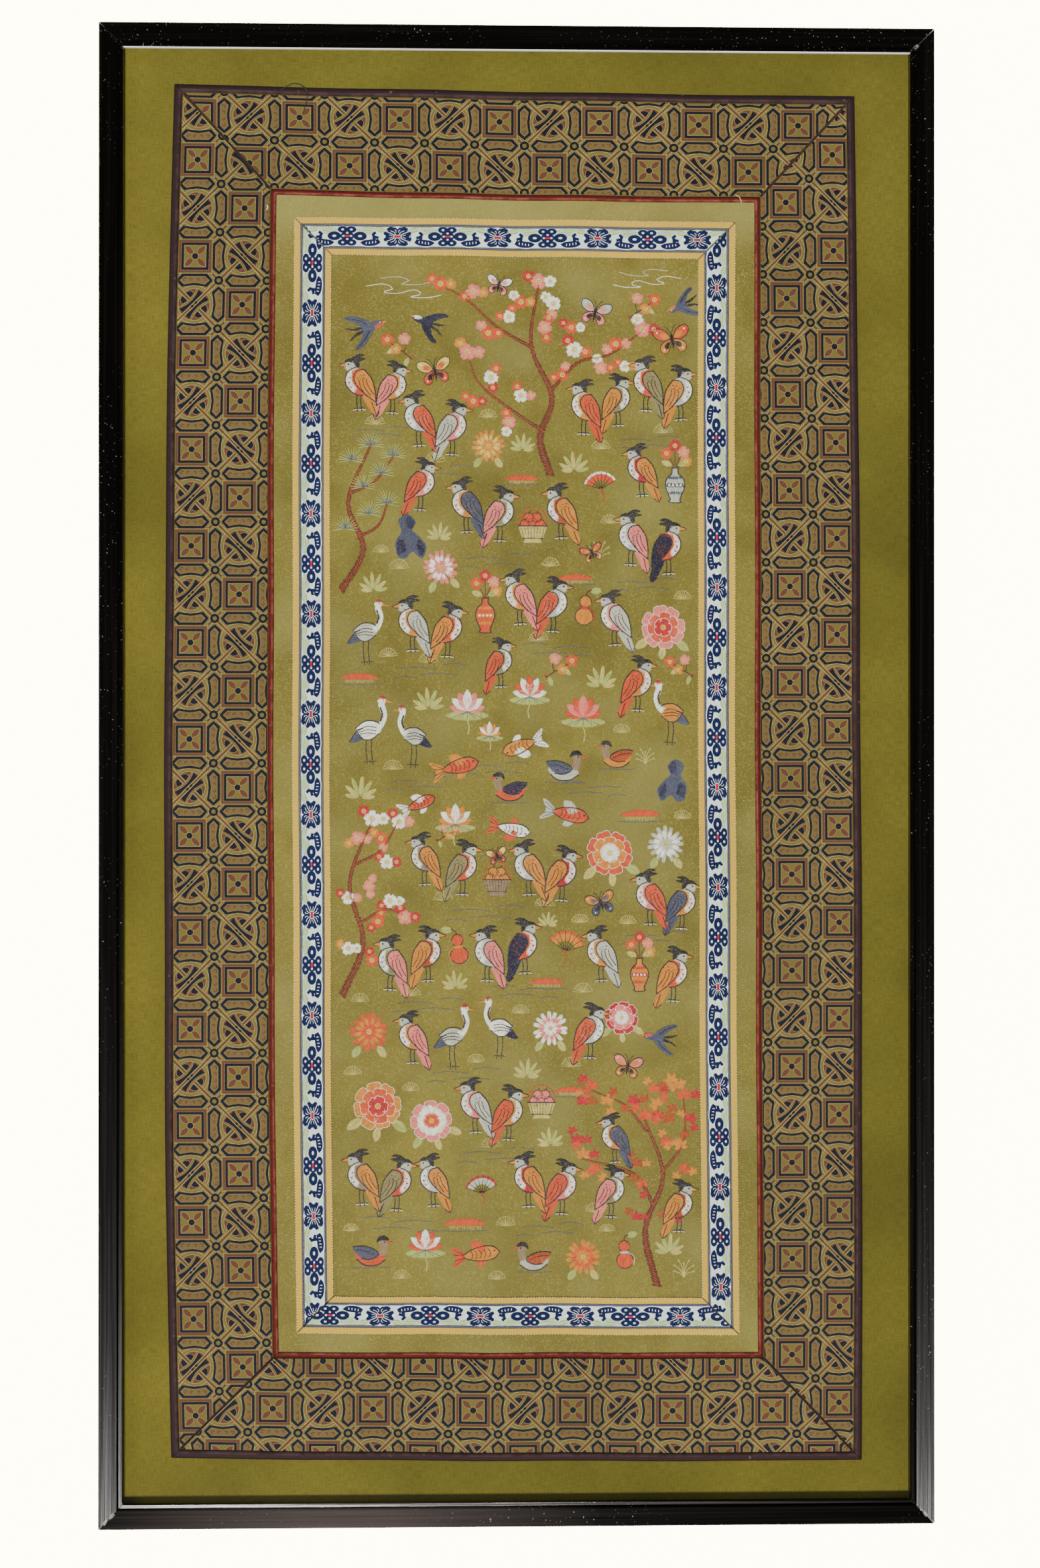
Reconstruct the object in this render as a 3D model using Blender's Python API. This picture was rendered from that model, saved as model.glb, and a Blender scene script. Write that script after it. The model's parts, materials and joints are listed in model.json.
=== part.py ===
"""Framed silk embroidery: a mitred black frame glazed over an olive mat, on which a satin panel lies with its
woven ribbon, dark red piping, brocade border and aubergine binding.

It lies on its back with the picture up: X runs across it, Y up the picture and Z out of its face. The origin
is the middle of its back, and the script works in metres.
"""

import math
from collections import namedtuple

import bmesh
import bpy
from mathutils import Vector

MM = 0.001

# Driving dimensions.
FRAME_WIDTH = 560 * MM
FRAME_HEIGHT = 1005 * MM
FRAME_DEPTH = 22 * MM
GAP = 0.3 * MM  # between pieces that touch
MITRE_SHIFT = GAP / math.sqrt(2)  # each side's step back along its edge, which opens a 45 degree mitre by GAP

# The moulding, by distance in from the frame's outer side.
FACE_WIDTH = 13 * MM
RAIL_WIDTH = 16 * MM
RABBET_WIDTH = 10 * MM
RABBET_DEPTH = 15 * MM  # height of the lip's underside above the back
LIP_HEIGHT = 18.5 * MM
FACE_DROP = 0.8 * MM  # how far the flat face falls towards the picture
EASED_EDGE = 0.8 * MM

# Heights above the back at which the flat layers lie.
BOARD_BASE, BOARD_THICK = 4 * MM, 3 * MM
MAT_BASE, MAT_THICK = BOARD_BASE + BOARD_THICK + GAP, 1 * MM
PANEL_BASE = MAT_BASE + MAT_THICK + GAP
BROCADE_THICK = 1.2 * MM
BINDING_THICK = 1.8 * MM
PIPING_THICK = 2 * MM
SATIN_THICK = 1.1 * MM
RIBBON_THICK = 1 * MM
GLASS_THICK = 2 * MM
GLASS_BASE = RABBET_DEPTH - GAP - GLASS_THICK

BINDING_WIDTH = 5.6 * MM
PIPING_WIDTH = 3.8 * MM
RIBBON_WIDTH = 25.3 * MM

# One row for each sewn edge. Corners are millimetres right of and above the middle; a bow is how many
# millimetres the side swells outwards half way along, and flutter how far it strays from that curve.
Seam = namedtuple(
    "Seam",
    "top_left top_right bottom_right bottom_left bow_top bow_right bow_bottom bow_left flutter",
)
PANEL_EDGE = Seam((-230.8, 464.3), (227.7, 459.5), (232.7, -462.1), (-232.5, -457.6), -1, 2, 1.4, 5.6, 0.35)
PIPING_EDGE = Seam((-166.1, 394.1), (163.6, 390.8), (166.1, -392.6), (-164.3, -390.7), -1, -0.6, 0.4, 2.6, 0.3)
RIBBON_EDGE = Seam((-150.5, 375.2), (147, 373.6), (150, -377.3), (-148.8, -374.5), 0.3, -1.3, 0.2, 1.9, 0.3)

SIDES = ("top", "right", "bottom", "left")
OUTWARD = {"top": (0, 1), "right": (1, 0), "bottom": (0, -1), "left": (-1, 0)}
BOW_SHARPNESS = 2.5  # a higher number keeps the swelling even for longer and turns it in nearer the corners
FLUTTERS_PER_SIDE = 7
STEPS = {"top": 16, "right": 30, "bottom": 16, "left": 30}  # segments along a strip

# Cross-sections of the strips: (share of the way from the outer to the inner edge, share of the thickness).
FLAT_SECTION = ((0, 0.8), (0.03, 1), (0.97, 1), (1, 0.8))
ROLLED_SECTION = ((0, 0.45), (0.2, 0.92), (0.5, 1), (0.8, 0.92), (1, 0.45))

SATIN_COLUMNS, SATIN_ROWS = STEPS["top"], STEPS["left"]
SATIN_WAVE = 0.22 * MM

LACQUER = ("black_lacquer", (0.008, 0.006, 0.005), 0.3)
GLASS = ("clear_glass", (0.9, 0.95, 0.93), 0.03)
HARDBOARD = ("hardboard", (0.22, 0.13, 0.07), 0.8)
MAT_CLOTH = ("olive_mat_cloth", (0.2, 0.167, 0.022), 0.85)
SATIN = ("gold_olive_satin", (0.31, 0.25, 0.06), 0.4)
BROCADE = ("gold_brocade", (0.27, 0.2, 0.06), 0.6)
AUBERGINE = ("aubergine_silk", (0.05, 0.023, 0.023), 0.55)
RED_SILK = ("dark_red_silk", (0.16, 0.014, 0.01), 0.45)
RIBBON = ("woven_ribbon", (0.66, 0.62, 0.48), 0.6)


def material(finish):
    """The Principled material of a finish, made once."""
    name, colour, roughness = finish
    found = bpy.data.materials.get(name)
    if found:
        return found
    made = bpy.data.materials.new(name)
    made.use_nodes = True
    shader = made.node_tree.nodes["Principled BSDF"]
    shader.inputs["Base Color"].default_value = (*colour, 1)
    shader.inputs["Roughness"].default_value = roughness
    made.diffuse_color = (*colour, 1)
    return made


def add_object(name, mesh, finish, parent):
    """An object of this mesh under the parent, its faces turned outwards."""
    bmesh.ops.recalc_face_normals(mesh, faces=mesh.faces)
    data = bpy.data.meshes.new(name)
    mesh.to_mesh(data)
    mesh.free()
    data.materials.append(material(finish))
    made = bpy.data.objects.new(name, data)
    made.parent = parent
    bpy.context.scene.collection.objects.link(made)
    return made


def loft(mesh, sections):
    """A closed body through rings of points that match one another, with a flat cap at each end."""
    rings = [[mesh.verts.new(point) for point in ring] for ring in sections]
    count = len(rings[0])
    for ring, following in zip(rings, rings[1:]):
        for i in range(count):
            j = (i + 1) % count
            mesh.faces.new((ring[i], ring[j], following[j], following[i]))
    mesh.faces.new(rings[0])
    mesh.faces.new(rings[-1])


def moulding_profile():
    """The rail's section as (distance in from the outer side, height), from the back's outer corner round."""
    face_low = FRAME_DEPTH - FACE_DROP
    return (
        (EASED_EDGE, 0),
        (0, EASED_EDGE),
        (0, FRAME_DEPTH - EASED_EDGE),
        (0.3 * EASED_EDGE, FRAME_DEPTH - 0.3 * EASED_EDGE),
        (EASED_EDGE, FRAME_DEPTH),
        (FACE_WIDTH - EASED_EDGE, face_low),
        (FACE_WIDTH, face_low - EASED_EDGE),
        (FACE_WIDTH + 0.3 * MM, LIP_HEIGHT),
        (RAIL_WIDTH - 0.6 * EASED_EDGE, LIP_HEIGHT),
        (RAIL_WIDTH, LIP_HEIGHT - 0.6 * EASED_EDGE),
        (RAIL_WIDTH, RABBET_DEPTH),
        (RABBET_WIDTH, RABBET_DEPTH),
        (RABBET_WIDTH, 0),
    )


def rail(side, parent):
    """One length of moulding, mitred at both ends."""
    across, up = OUTWARD[side]
    outer_side = abs(across) * FRAME_WIDTH / 2 + abs(up) * FRAME_HEIGHT / 2
    half_length = abs(up) * FRAME_WIDTH / 2 + abs(across) * FRAME_HEIGHT / 2
    sections = []
    for end in (-1, 1):
        ring = []
        for inset_by, height in moulding_profile():
            out = outer_side - inset_by
            along = end * (half_length - inset_by - MITRE_SHIFT)
            ring.append((across * out + up * along, up * out - across * along, height))
        sections.append(ring)
    mesh = bmesh.new()
    loft(mesh, sections)
    return add_object("rail_" + side, mesh, LACQUER, parent)


def slab(name, base, thickness, clearance, finish, parent):
    """A flat sheet that fills the rabbet, this far from its walls."""
    half_width = FRAME_WIDTH / 2 - RABBET_WIDTH - clearance
    half_height = FRAME_HEIGHT / 2 - RABBET_WIDTH - clearance
    corners = [(-half_width, -half_height), (half_width, -half_height)]
    corners += [(half_width, half_height), (-half_width, half_height)]
    mesh = bmesh.new()
    loft(mesh, [[(x, y, z) for x, y in corners] for z in (base, base + thickness)])
    return add_object(name, mesh, finish, parent)


def inset(seam, distance):
    """The seam moved inwards all round by a distance in metres, or outwards if that is negative."""
    step = distance / MM
    corners = []
    for x, y in seam[:4]:
        corners.append((x - step * math.copysign(1, x), y - step * math.copysign(1, y)))
    return Seam(*corners, *seam[4:])


def seam_point(seam, side, share, shift=0.0):
    """A point this share of the way along a side, which is shortened by shift at both ends."""
    place = SIDES.index(side)
    start = Vector(seam[place]) * MM
    end = Vector(seam[(place + 1) % 4]) * MM
    trimmed = shift / (end - start).length
    along = trimmed + (1 - 2 * trimmed) * share
    swelling = seam[4 + place] * (1 - abs(2 * along - 1) ** BOW_SHARPNESS)
    stray = seam.flutter * math.sin(math.pi * along) * math.sin(math.pi * FLUTTERS_PER_SIDE * along + place)
    return start.lerp(end, along) + Vector(OUTWARD[side]) * (swelling + stray) * MM


def satin_top(x, y):
    """Height of the satin's upper face, which lies in slow waves."""
    slow = math.sin(math.tau * x / 0.21 + 0.8) * math.cos(math.tau * y / 0.26)
    drift = math.sin(math.tau * (x + 0.6 * y) / 0.33)
    return PANEL_BASE + SATIN_THICK + SATIN_WAVE * (0.6 * slow + 0.4 * drift)


def panel_floor(x, y):
    """Height at which the strips round the satin lie."""
    return PANEL_BASE


def over_satin(x, y):
    """Height at which the ribbon lies on the satin."""
    return satin_top(x, y) + GAP


def strip(name, side, outer, inner, section, thickness, floor, finish, parent):
    """A mitred strip between two seams, its underside at floor(x, y) and its top shaped by the section."""
    outer_edge = inset(outer, GAP / 2)
    inner_edge = inset(inner, -GAP / 2)
    sections = []
    for step in range(STEPS[side] + 1):
        share = step / STEPS[side]
        a = seam_point(outer_edge, side, share, MITRE_SHIFT)
        b = seam_point(inner_edge, side, share, MITRE_SHIFT)
        ring = [(*a, floor(*a)), (*b, floor(*b))]
        for across, rise in reversed(section):
            x, y = a.lerp(b, across)
            ring.append((x, y, floor(x, y) + rise * thickness))
        sections.append(ring)
    mesh = bmesh.new()
    loft(mesh, sections)
    return add_object(f"{name}_{side}", mesh, finish, parent)


def satin_point(seam, across, up):
    """A point on the patch that fills a seam, by its shares of the way to the right and upwards."""
    left = seam_point(seam, "left", up)
    right = seam_point(seam, "right", 1 - up)
    top = seam_point(seam, "top", across)
    bottom = seam_point(seam, "bottom", 1 - across)
    corners = (Vector(corner) * MM for corner in seam[:4])
    top_left, top_right, bottom_right, bottom_left = corners
    ruled = left.lerp(right, across) + bottom.lerp(top, up)
    return ruled - bottom_left.lerp(bottom_right, across).lerp(top_left.lerp(top_right, across), up)


def satin_ground(seam, parent):
    """The satin sheet inside the piping: a grid for its waved top, the same below it laid flat, and a rim."""
    edge = inset(seam, GAP / 2)
    mesh = bmesh.new()
    upper, lower = [], []
    for row in range(SATIN_ROWS + 1):
        points = [satin_point(edge, column / SATIN_COLUMNS, row / SATIN_ROWS) for column in range(SATIN_COLUMNS + 1)]
        upper.append([mesh.verts.new((*point, satin_top(*point))) for point in points])
        lower.append([mesh.verts.new((*point, PANEL_BASE)) for point in points])
    for grid in (upper, lower):
        for row, above in zip(grid, grid[1:]):
            for i in range(SATIN_COLUMNS):
                mesh.faces.new((row[i], row[i + 1], above[i + 1], above[i]))
    rims = []
    for grid in (upper, lower):
        right_side = [row[-1] for row in grid[1:]]
        left_side = [row[0] for row in grid[-2:0:-1]]
        rims.append(grid[0] + right_side + grid[-1][-2::-1] + left_side)
    count = len(rims[0])
    for i in range(count):
        j = (i + 1) % count
        mesh.faces.new((rims[0][i], rims[0][j], rims[1][j], rims[1][i]))
    return add_object("satin_ground", mesh, SATIN, parent)


def main():
    for old in list(bpy.data.objects):
        bpy.data.objects.remove(old, do_unlink=True)
    whole = bpy.data.objects.new("framed_embroidery", None)
    bpy.context.scene.collection.objects.link(whole)

    slab("backing_board", BOARD_BASE, BOARD_THICK, GAP, HARDBOARD, whole)
    slab("mat_cloth", MAT_BASE, MAT_THICK, GAP, MAT_CLOTH, whole)
    slab("glass", GLASS_BASE, GLASS_THICK, GAP, GLASS, whole)

    brocade_edge = inset(PANEL_EDGE, BINDING_WIDTH)
    satin_edge = inset(PIPING_EDGE, PIPING_WIDTH)
    ribbon_inner = inset(RIBBON_EDGE, RIBBON_WIDTH)
    satin_ground(satin_edge, whole)
    rows = (
        ("binding", PANEL_EDGE, brocade_edge, ROLLED_SECTION, BINDING_THICK, panel_floor, AUBERGINE),
        ("brocade", brocade_edge, PIPING_EDGE, FLAT_SECTION, BROCADE_THICK, panel_floor, BROCADE),
        ("piping", PIPING_EDGE, satin_edge, ROLLED_SECTION, PIPING_THICK, panel_floor, RED_SILK),
        ("ribbon", RIBBON_EDGE, ribbon_inner, FLAT_SECTION, RIBBON_THICK, over_satin, RIBBON),
    )
    for side in SIDES:
        rail(side, whole)
        for name, outer, inner, section, thickness, floor, finish in rows:
            strip(name, side, outer, inner, section, thickness, floor, finish, whole)


main()
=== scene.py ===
"""A framed silk embroidery lying on its back on a pale floor, seen from straight above.

Charts are written in millimetres and turned into metres where a mesh is made.
"""

import json
import math
from collections import namedtuple

import bpy
import numpy as np
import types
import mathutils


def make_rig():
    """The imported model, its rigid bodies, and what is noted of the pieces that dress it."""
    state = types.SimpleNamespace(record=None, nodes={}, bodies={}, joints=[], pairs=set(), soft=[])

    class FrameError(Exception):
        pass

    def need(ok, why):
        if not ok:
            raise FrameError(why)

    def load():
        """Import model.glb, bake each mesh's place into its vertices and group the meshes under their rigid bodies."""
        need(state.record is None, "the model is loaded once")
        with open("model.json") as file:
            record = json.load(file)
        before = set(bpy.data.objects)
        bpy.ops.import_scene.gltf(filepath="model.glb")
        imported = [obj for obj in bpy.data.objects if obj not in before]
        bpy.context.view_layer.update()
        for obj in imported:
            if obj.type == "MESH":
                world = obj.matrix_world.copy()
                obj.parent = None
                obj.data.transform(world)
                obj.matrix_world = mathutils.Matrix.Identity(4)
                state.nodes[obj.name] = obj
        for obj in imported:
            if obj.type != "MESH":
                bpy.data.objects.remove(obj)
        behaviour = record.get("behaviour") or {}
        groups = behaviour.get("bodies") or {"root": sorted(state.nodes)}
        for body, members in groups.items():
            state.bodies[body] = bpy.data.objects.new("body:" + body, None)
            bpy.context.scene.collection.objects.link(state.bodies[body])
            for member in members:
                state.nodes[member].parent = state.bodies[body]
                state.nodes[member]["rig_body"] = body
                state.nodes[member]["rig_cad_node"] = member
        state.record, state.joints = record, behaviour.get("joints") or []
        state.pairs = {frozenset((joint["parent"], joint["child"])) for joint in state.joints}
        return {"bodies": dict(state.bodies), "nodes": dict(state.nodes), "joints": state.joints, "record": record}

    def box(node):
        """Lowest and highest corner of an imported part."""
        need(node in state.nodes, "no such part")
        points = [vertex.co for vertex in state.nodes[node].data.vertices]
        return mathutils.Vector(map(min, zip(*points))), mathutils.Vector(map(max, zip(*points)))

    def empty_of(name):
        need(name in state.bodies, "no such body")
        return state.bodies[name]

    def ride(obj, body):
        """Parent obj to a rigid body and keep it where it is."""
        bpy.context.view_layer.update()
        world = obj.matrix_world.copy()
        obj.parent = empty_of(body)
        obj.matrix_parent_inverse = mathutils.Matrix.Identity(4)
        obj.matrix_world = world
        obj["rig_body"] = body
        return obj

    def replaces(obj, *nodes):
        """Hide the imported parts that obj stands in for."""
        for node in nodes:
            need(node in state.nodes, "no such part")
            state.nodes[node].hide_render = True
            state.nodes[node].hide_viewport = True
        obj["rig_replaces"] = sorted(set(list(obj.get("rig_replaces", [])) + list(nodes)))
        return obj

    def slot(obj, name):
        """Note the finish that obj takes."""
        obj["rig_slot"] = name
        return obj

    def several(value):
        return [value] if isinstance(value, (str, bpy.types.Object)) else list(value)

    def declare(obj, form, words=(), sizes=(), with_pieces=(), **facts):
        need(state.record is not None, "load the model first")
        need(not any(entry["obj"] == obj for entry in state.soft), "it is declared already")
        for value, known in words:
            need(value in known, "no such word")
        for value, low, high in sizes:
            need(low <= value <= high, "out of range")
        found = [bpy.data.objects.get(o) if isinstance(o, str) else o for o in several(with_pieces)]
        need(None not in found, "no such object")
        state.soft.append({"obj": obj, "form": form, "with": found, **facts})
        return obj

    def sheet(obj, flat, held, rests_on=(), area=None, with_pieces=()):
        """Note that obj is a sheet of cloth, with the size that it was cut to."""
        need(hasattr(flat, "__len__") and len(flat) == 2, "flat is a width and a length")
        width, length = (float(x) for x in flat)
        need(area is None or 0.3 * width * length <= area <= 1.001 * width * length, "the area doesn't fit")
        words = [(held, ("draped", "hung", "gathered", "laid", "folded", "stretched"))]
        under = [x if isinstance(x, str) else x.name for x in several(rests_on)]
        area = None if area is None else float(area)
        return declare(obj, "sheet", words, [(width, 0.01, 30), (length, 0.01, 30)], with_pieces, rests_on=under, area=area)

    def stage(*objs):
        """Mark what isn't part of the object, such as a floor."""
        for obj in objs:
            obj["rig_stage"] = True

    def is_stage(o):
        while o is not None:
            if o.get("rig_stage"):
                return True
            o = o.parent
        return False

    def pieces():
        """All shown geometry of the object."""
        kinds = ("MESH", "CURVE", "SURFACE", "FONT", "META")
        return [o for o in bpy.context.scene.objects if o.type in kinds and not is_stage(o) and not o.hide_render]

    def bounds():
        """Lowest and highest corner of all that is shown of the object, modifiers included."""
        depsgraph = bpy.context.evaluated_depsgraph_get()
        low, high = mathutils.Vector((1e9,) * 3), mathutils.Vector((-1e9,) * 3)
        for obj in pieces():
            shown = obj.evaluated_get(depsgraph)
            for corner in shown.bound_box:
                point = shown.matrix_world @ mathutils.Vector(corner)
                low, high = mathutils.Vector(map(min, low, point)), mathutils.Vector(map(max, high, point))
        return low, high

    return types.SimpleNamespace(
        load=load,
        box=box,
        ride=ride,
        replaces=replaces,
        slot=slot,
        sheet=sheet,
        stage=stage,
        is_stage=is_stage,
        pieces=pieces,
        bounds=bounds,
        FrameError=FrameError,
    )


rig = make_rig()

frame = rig.load()

MM = 0.001
SIDES = ("top", "right", "bottom", "left")
SEED = 1947


def box_list(corners):
    """Two corners as plain lists of numbers."""
    return [[round(float(value), 5) for value in corner] for corner in corners]


SIZES = {"cad_box": box_list(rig.bounds())}


# ---------------------------------------------------------------- meshes

def new_mesh(name, points, corners, sizes):
    """A mesh from points in millimetres, one flat list of face corners and the size of each face."""
    mesh = bpy.data.meshes.new(name)
    mesh.vertices.add(len(points))
    mesh.vertices.foreach_set("co", (np.asarray(points, float) * MM).ravel())
    mesh.loops.add(len(corners))
    mesh.loops.foreach_set("vertex_index", np.asarray(corners, np.int32))
    starts = np.concatenate([[0], np.cumsum(sizes)[:-1]]).astype(np.int32)
    mesh.polygons.add(len(sizes))
    mesh.polygons.foreach_set("loop_start", starts)
    mesh.update(calc_edges=True)
    mesh.validate()
    return mesh


def cloth_mesh(name, points, quads, along, across):
    """A mesh of quads that face up, with each point's place along and across its cloth."""
    a, b, c = (points[quads[:, k]] for k in (0, 1, 2))
    rise = np.cross(b - a, c - a)[:, 2].sum()
    if rise <= 0:
        quads = quads[:, ::-1]
    mesh = new_mesh(name, points, quads.ravel(), np.full(len(quads), 4))
    thread_map(mesh, along, across)
    return mesh


def grid_quads(rows, columns):
    """The quads of a grid whose points run column by column in each row."""
    first = (np.arange(rows - 1)[:, None] * columns + np.arange(columns - 1)[None, :]).ravel()
    return np.stack([first, first + 1, first + columns + 1, first + columns], axis=1)


def thread_map(mesh, along, across):
    """Stores where each point lies on its cloth, in millimetres, as the UV map named thread."""
    layer = mesh.uv_layers.new(name="thread")
    corner = np.zeros(len(mesh.loops), np.int32)
    mesh.loops.foreach_get("vertex_index", corner)
    values = np.stack([np.asarray(along)[corner], np.asarray(across)[corner]], axis=1)
    layer.data.foreach_set("uv", values.astype(np.float32).ravel())


def shade_points(mesh, values):
    """Stores one number a point: how light its stitch is."""
    attribute = mesh.attributes.new("shade", "FLOAT", "POINT")
    attribute.data.foreach_set("value", np.asarray(values, np.float32))


def link(name, data):
    """A new object with this data, linked to the scene."""
    made = bpy.data.objects.new(name, data)
    bpy.context.scene.collection.objects.link(made)
    return made


def show(name, mesh, materials, slot, smooth=True):
    """Links the mesh as a piece that rides on the body and has a material slot of the record."""
    for material in materials:
        mesh.materials.append(material)
    mesh.polygons.foreach_set("use_smooth", np.full(len(mesh.polygons), smooth))
    piece = link(name, mesh)
    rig.ride(piece, "root")
    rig.slot(piece, slot)
    return piece


# ---------------------------------------------------------------- seams, read from the frame

# across: which coordinate runs across the strip. inward: the way from its outer edge to its inner one.
Strip = namedtuple("Strip", "node side across inward outer inner base top")
# A face looks down when the z of its normal is at most this.
LOOKS_DOWN = -0.9


def underside_loop(node):
    """The outline of a node's flat underside, as one ordered loop of points in millimetres."""
    mesh = frame["nodes"][node].data
    edges = set()
    for face in mesh.polygons:
        if face.normal.z > LOOKS_DOWN:
            continue
        keys = [tuple(round(v / MM, 3) for v in mesh.vertices[i].co[:2]) for i in face.vertices]
        edges.update(zip(keys, keys[1:] + keys[:1]))
    after = {a: b for a, b in edges if (b, a) not in edges}
    start = min(after)
    loop = [start]
    while after[loop[-1]] != start:
        loop.append(after[loop[-1]])
    return np.array(loop)


def sides_of(loop):
    """The four sides of a loop, parted at its four sharpest corners."""
    before = loop - np.roll(loop, 1, axis=0)
    after = np.roll(loop, -1, axis=0) - loop
    turn = np.arctan2(after[:, 1], after[:, 0]) - np.arctan2(before[:, 1], before[:, 0])
    turn = np.abs((turn + math.pi) % math.tau - math.pi)
    corners = sorted(np.argsort(turn)[-4:])
    loop = np.roll(loop, -corners[0], axis=0)
    cuts = [corner - corners[0] for corner in corners] + [len(loop)]
    closed = np.vstack([loop, loop[:1]])
    return [closed[a:b + 1] for a, b in zip(cuts, cuts[1:])]


def read_strip(node, side):
    """A strip's outer and inner edges, each in order of its place along the side."""
    across = 1 if side in ("top", "bottom") else 0
    along = 1 - across
    edges = sorted(sides_of(underside_loop(node)), key=lambda c: np.ptp(c[:, along]))[-2:]
    edges = [edge[np.argsort(edge[:, along])] for edge in edges]
    outer, inner = sorted(edges, key=lambda c: -abs(c[:, across].mean()))
    low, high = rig.box(node)
    inward = 1 if side in ("left", "bottom") else -1
    return Strip(node, side, across, inward, outer, inner, low.z / MM, high.z / MM)


def ends_along(strip):
    """Where a strip's outer edge starts and ends, along the strip."""
    return strip.outer[[0, -1], 1 - strip.across]


def flat_of(strip, points, sign=-1):
    """World positions as flat points, whose outer edge is the line at 0."""
    flat = np.array(points, float)
    along = 1 - strip.across
    edge = np.interp(flat[:, along], strip.outer[:, along], strip.outer[:, strip.across])
    flat[:, strip.across] += sign * edge
    return flat


def place_at(strip, points):
    """The other way: flat points as world positions."""
    return flat_of(strip, points, 1)


def on_strip(strip, points):
    """Places along the strip and in from its outer edge, as flat points."""
    points = np.asarray(points, float) * (1, strip.inward)
    return points if strip.across == 1 else points[:, ::-1]


def ring_area(ring):
    """The area inside a ring of points, below 0 where the ring runs clockwise."""
    after = np.roll(ring, -1, axis=0)
    return (ring[:, 0] * after[:, 1] - after[:, 0] * ring[:, 1]).sum() / 2


def run_of(line):
    """How far along a line each of its points lies."""
    return np.concatenate([[0], np.cumsum(np.linalg.norm(np.diff(line, axis=0), axis=1))])


def points_on(line, run, places):
    """Points of a line at these places of its run."""
    return np.stack([np.interp(places, run, line[:, k]) for k in (0, 1)], axis=1)


def resample(line, shares):
    """Points of a line at these shares of its length."""
    run = run_of(line)
    return points_on(line, run / run[-1], shares)


def sheet_size(strip):
    """Width, length and area of a strip's cut cloth in metres, seams as they lie."""
    area = abs(ring_area(np.vstack([strip.outer, strip.inner[::-1]]))) * MM * MM
    length, inner_length = (run_of(edge)[-1] * MM for edge in (strip.outer, strip.inner))
    return 2 * area / (length + inner_length), length, area


# ---------------------------------------------------------------- how the cloth lies

# Height of the satin's long waves and of its fine puckers, in millimetres.
SATIN_WAVE = 0.22
SATIN_PUCKER = 0.09
SATIN_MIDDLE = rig.box("satin_ground")[1].z / MM - 0.98 * SATIN_WAVE


def satin_top(x, y):
    """Height of the gold satin in millimetres: long soft waves, with fine puckers added."""
    long_wave = np.sin(x / 210 * math.tau + 0.8) * np.cos(y / 260 * math.tau)
    slant = np.sin((x + 0.6 * y) / 330 * math.tau)
    fine = np.sin(x / 31 + 1.3 * np.sin(y / 83)) * np.sin(y / 47 + 0.9 * np.sin(x / 59) + 1.1)
    return SATIN_MIDDLE + SATIN_WAVE * (0.6 * long_wave + 0.4 * slant) + SATIN_PUCKER * fine


def puckers(along, across, seed, length):
    """Uneven small folds across a sewn strip, from -1 to 1."""
    rng = np.random.default_rng(seed)
    total = np.zeros_like(along)
    for share, scale in ((0.5, 1.0), (0.3, 0.57), (0.2, 0.31)):
        phase, drift, lean = rng.uniform(0, math.tau, 3)
        bend = 0.8 * np.sin(across / (9 + 4 * drift / math.tau) + lean)
        swell = 0.55 + 0.45 * np.sin(along / (length * 3.3 * scale) + drift)
        total += share * swell * np.sin(along * math.tau / (length * scale) + phase + bend)
    return total


# ---------------------------------------------------------------- sums and textures of a node tree

class Value:
    """A number that a node tree works out; sums of it are written as in plain Python."""

    def __init__(self, tree, socket):
        self.tree = tree
        self.socket = socket

    def step(self, kind, other=None, swapped=False):
        """One Math node on this value and, where the kind needs it, another value or number."""
        node = self.tree.nodes.new("ShaderNodeMath")
        node.operation = kind
        for socket, value in zip(node.inputs, (other, self) if swapped else (self, other)):
            if value is not None:
                feed(self.tree, socket, value)
        return Value(self.tree, node.outputs[0])

    def __add__(self, other):
        return self.step("ADD", other)

    def __sub__(self, other):
        return self.step("SUBTRACT", other)

    def __rsub__(self, other):
        return self.step("SUBTRACT", other, swapped=True)

    def __mul__(self, other):
        return self.step("MULTIPLY", other)

    def __truediv__(self, other):
        return self.step("DIVIDE", other)

    def __pow__(self, other):
        return self.step("POWER", other)

    def __abs__(self):
        return self.step("ABSOLUTE")

    def sine(self):
        return self.step("SINE")

    def floor(self):
        return self.step("FLOOR")

    def spread(self, low, high, to_low=0.0, to_high=1.0):
        """The value taken from one range to another and held inside it."""
        node = self.tree.nodes.new("ShaderNodeMapRange")
        for socket, value in zip(node.inputs, (self, low, high, to_low, to_high)):
            feed(self.tree, socket, value)
        return Value(self.tree, node.outputs[0])

    def noise(self, scale, detail=2.0):
        """A noise texture's factor at this place and scale."""
        node = self.tree.nodes.new("ShaderNodeTexNoise")
        for label, value in (("Vector", self), ("Scale", scale), ("Detail", detail)):
            feed(self.tree, node.inputs[label], value)
        return Value(self.tree, node.outputs[0])

    def stretched(self, scale):
        """A place with its three axes scaled."""
        node = self.tree.nodes.new("ShaderNodeMapping")
        feed(self.tree, node.inputs["Vector"], self)
        node.inputs["Scale"].default_value = scale
        return Value(self.tree, node.outputs[0])

    def parts(self):
        """The separate numbers of a place."""
        node = self.tree.nodes.new("ShaderNodeSeparateXYZ")
        feed(self.tree, node.inputs[0], self)
        return [Value(self.tree, socket) for socket in node.outputs]


def feed(tree, socket, value):
    """Sets a socket to a number or a colour, or links a value to it."""
    if isinstance(value, Value):
        tree.links.new(value.socket, socket)
    elif isinstance(value, tuple):
        socket.default_value = (*value, 1.0)
    else:
        socket.default_value = value


# Where a Mix node of colours has its share, its two colours and its result.
MIX_SHARE, MIX_FIRST, MIX_SECOND, MIX_RESULT = 0, 6, 7, 2


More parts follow.
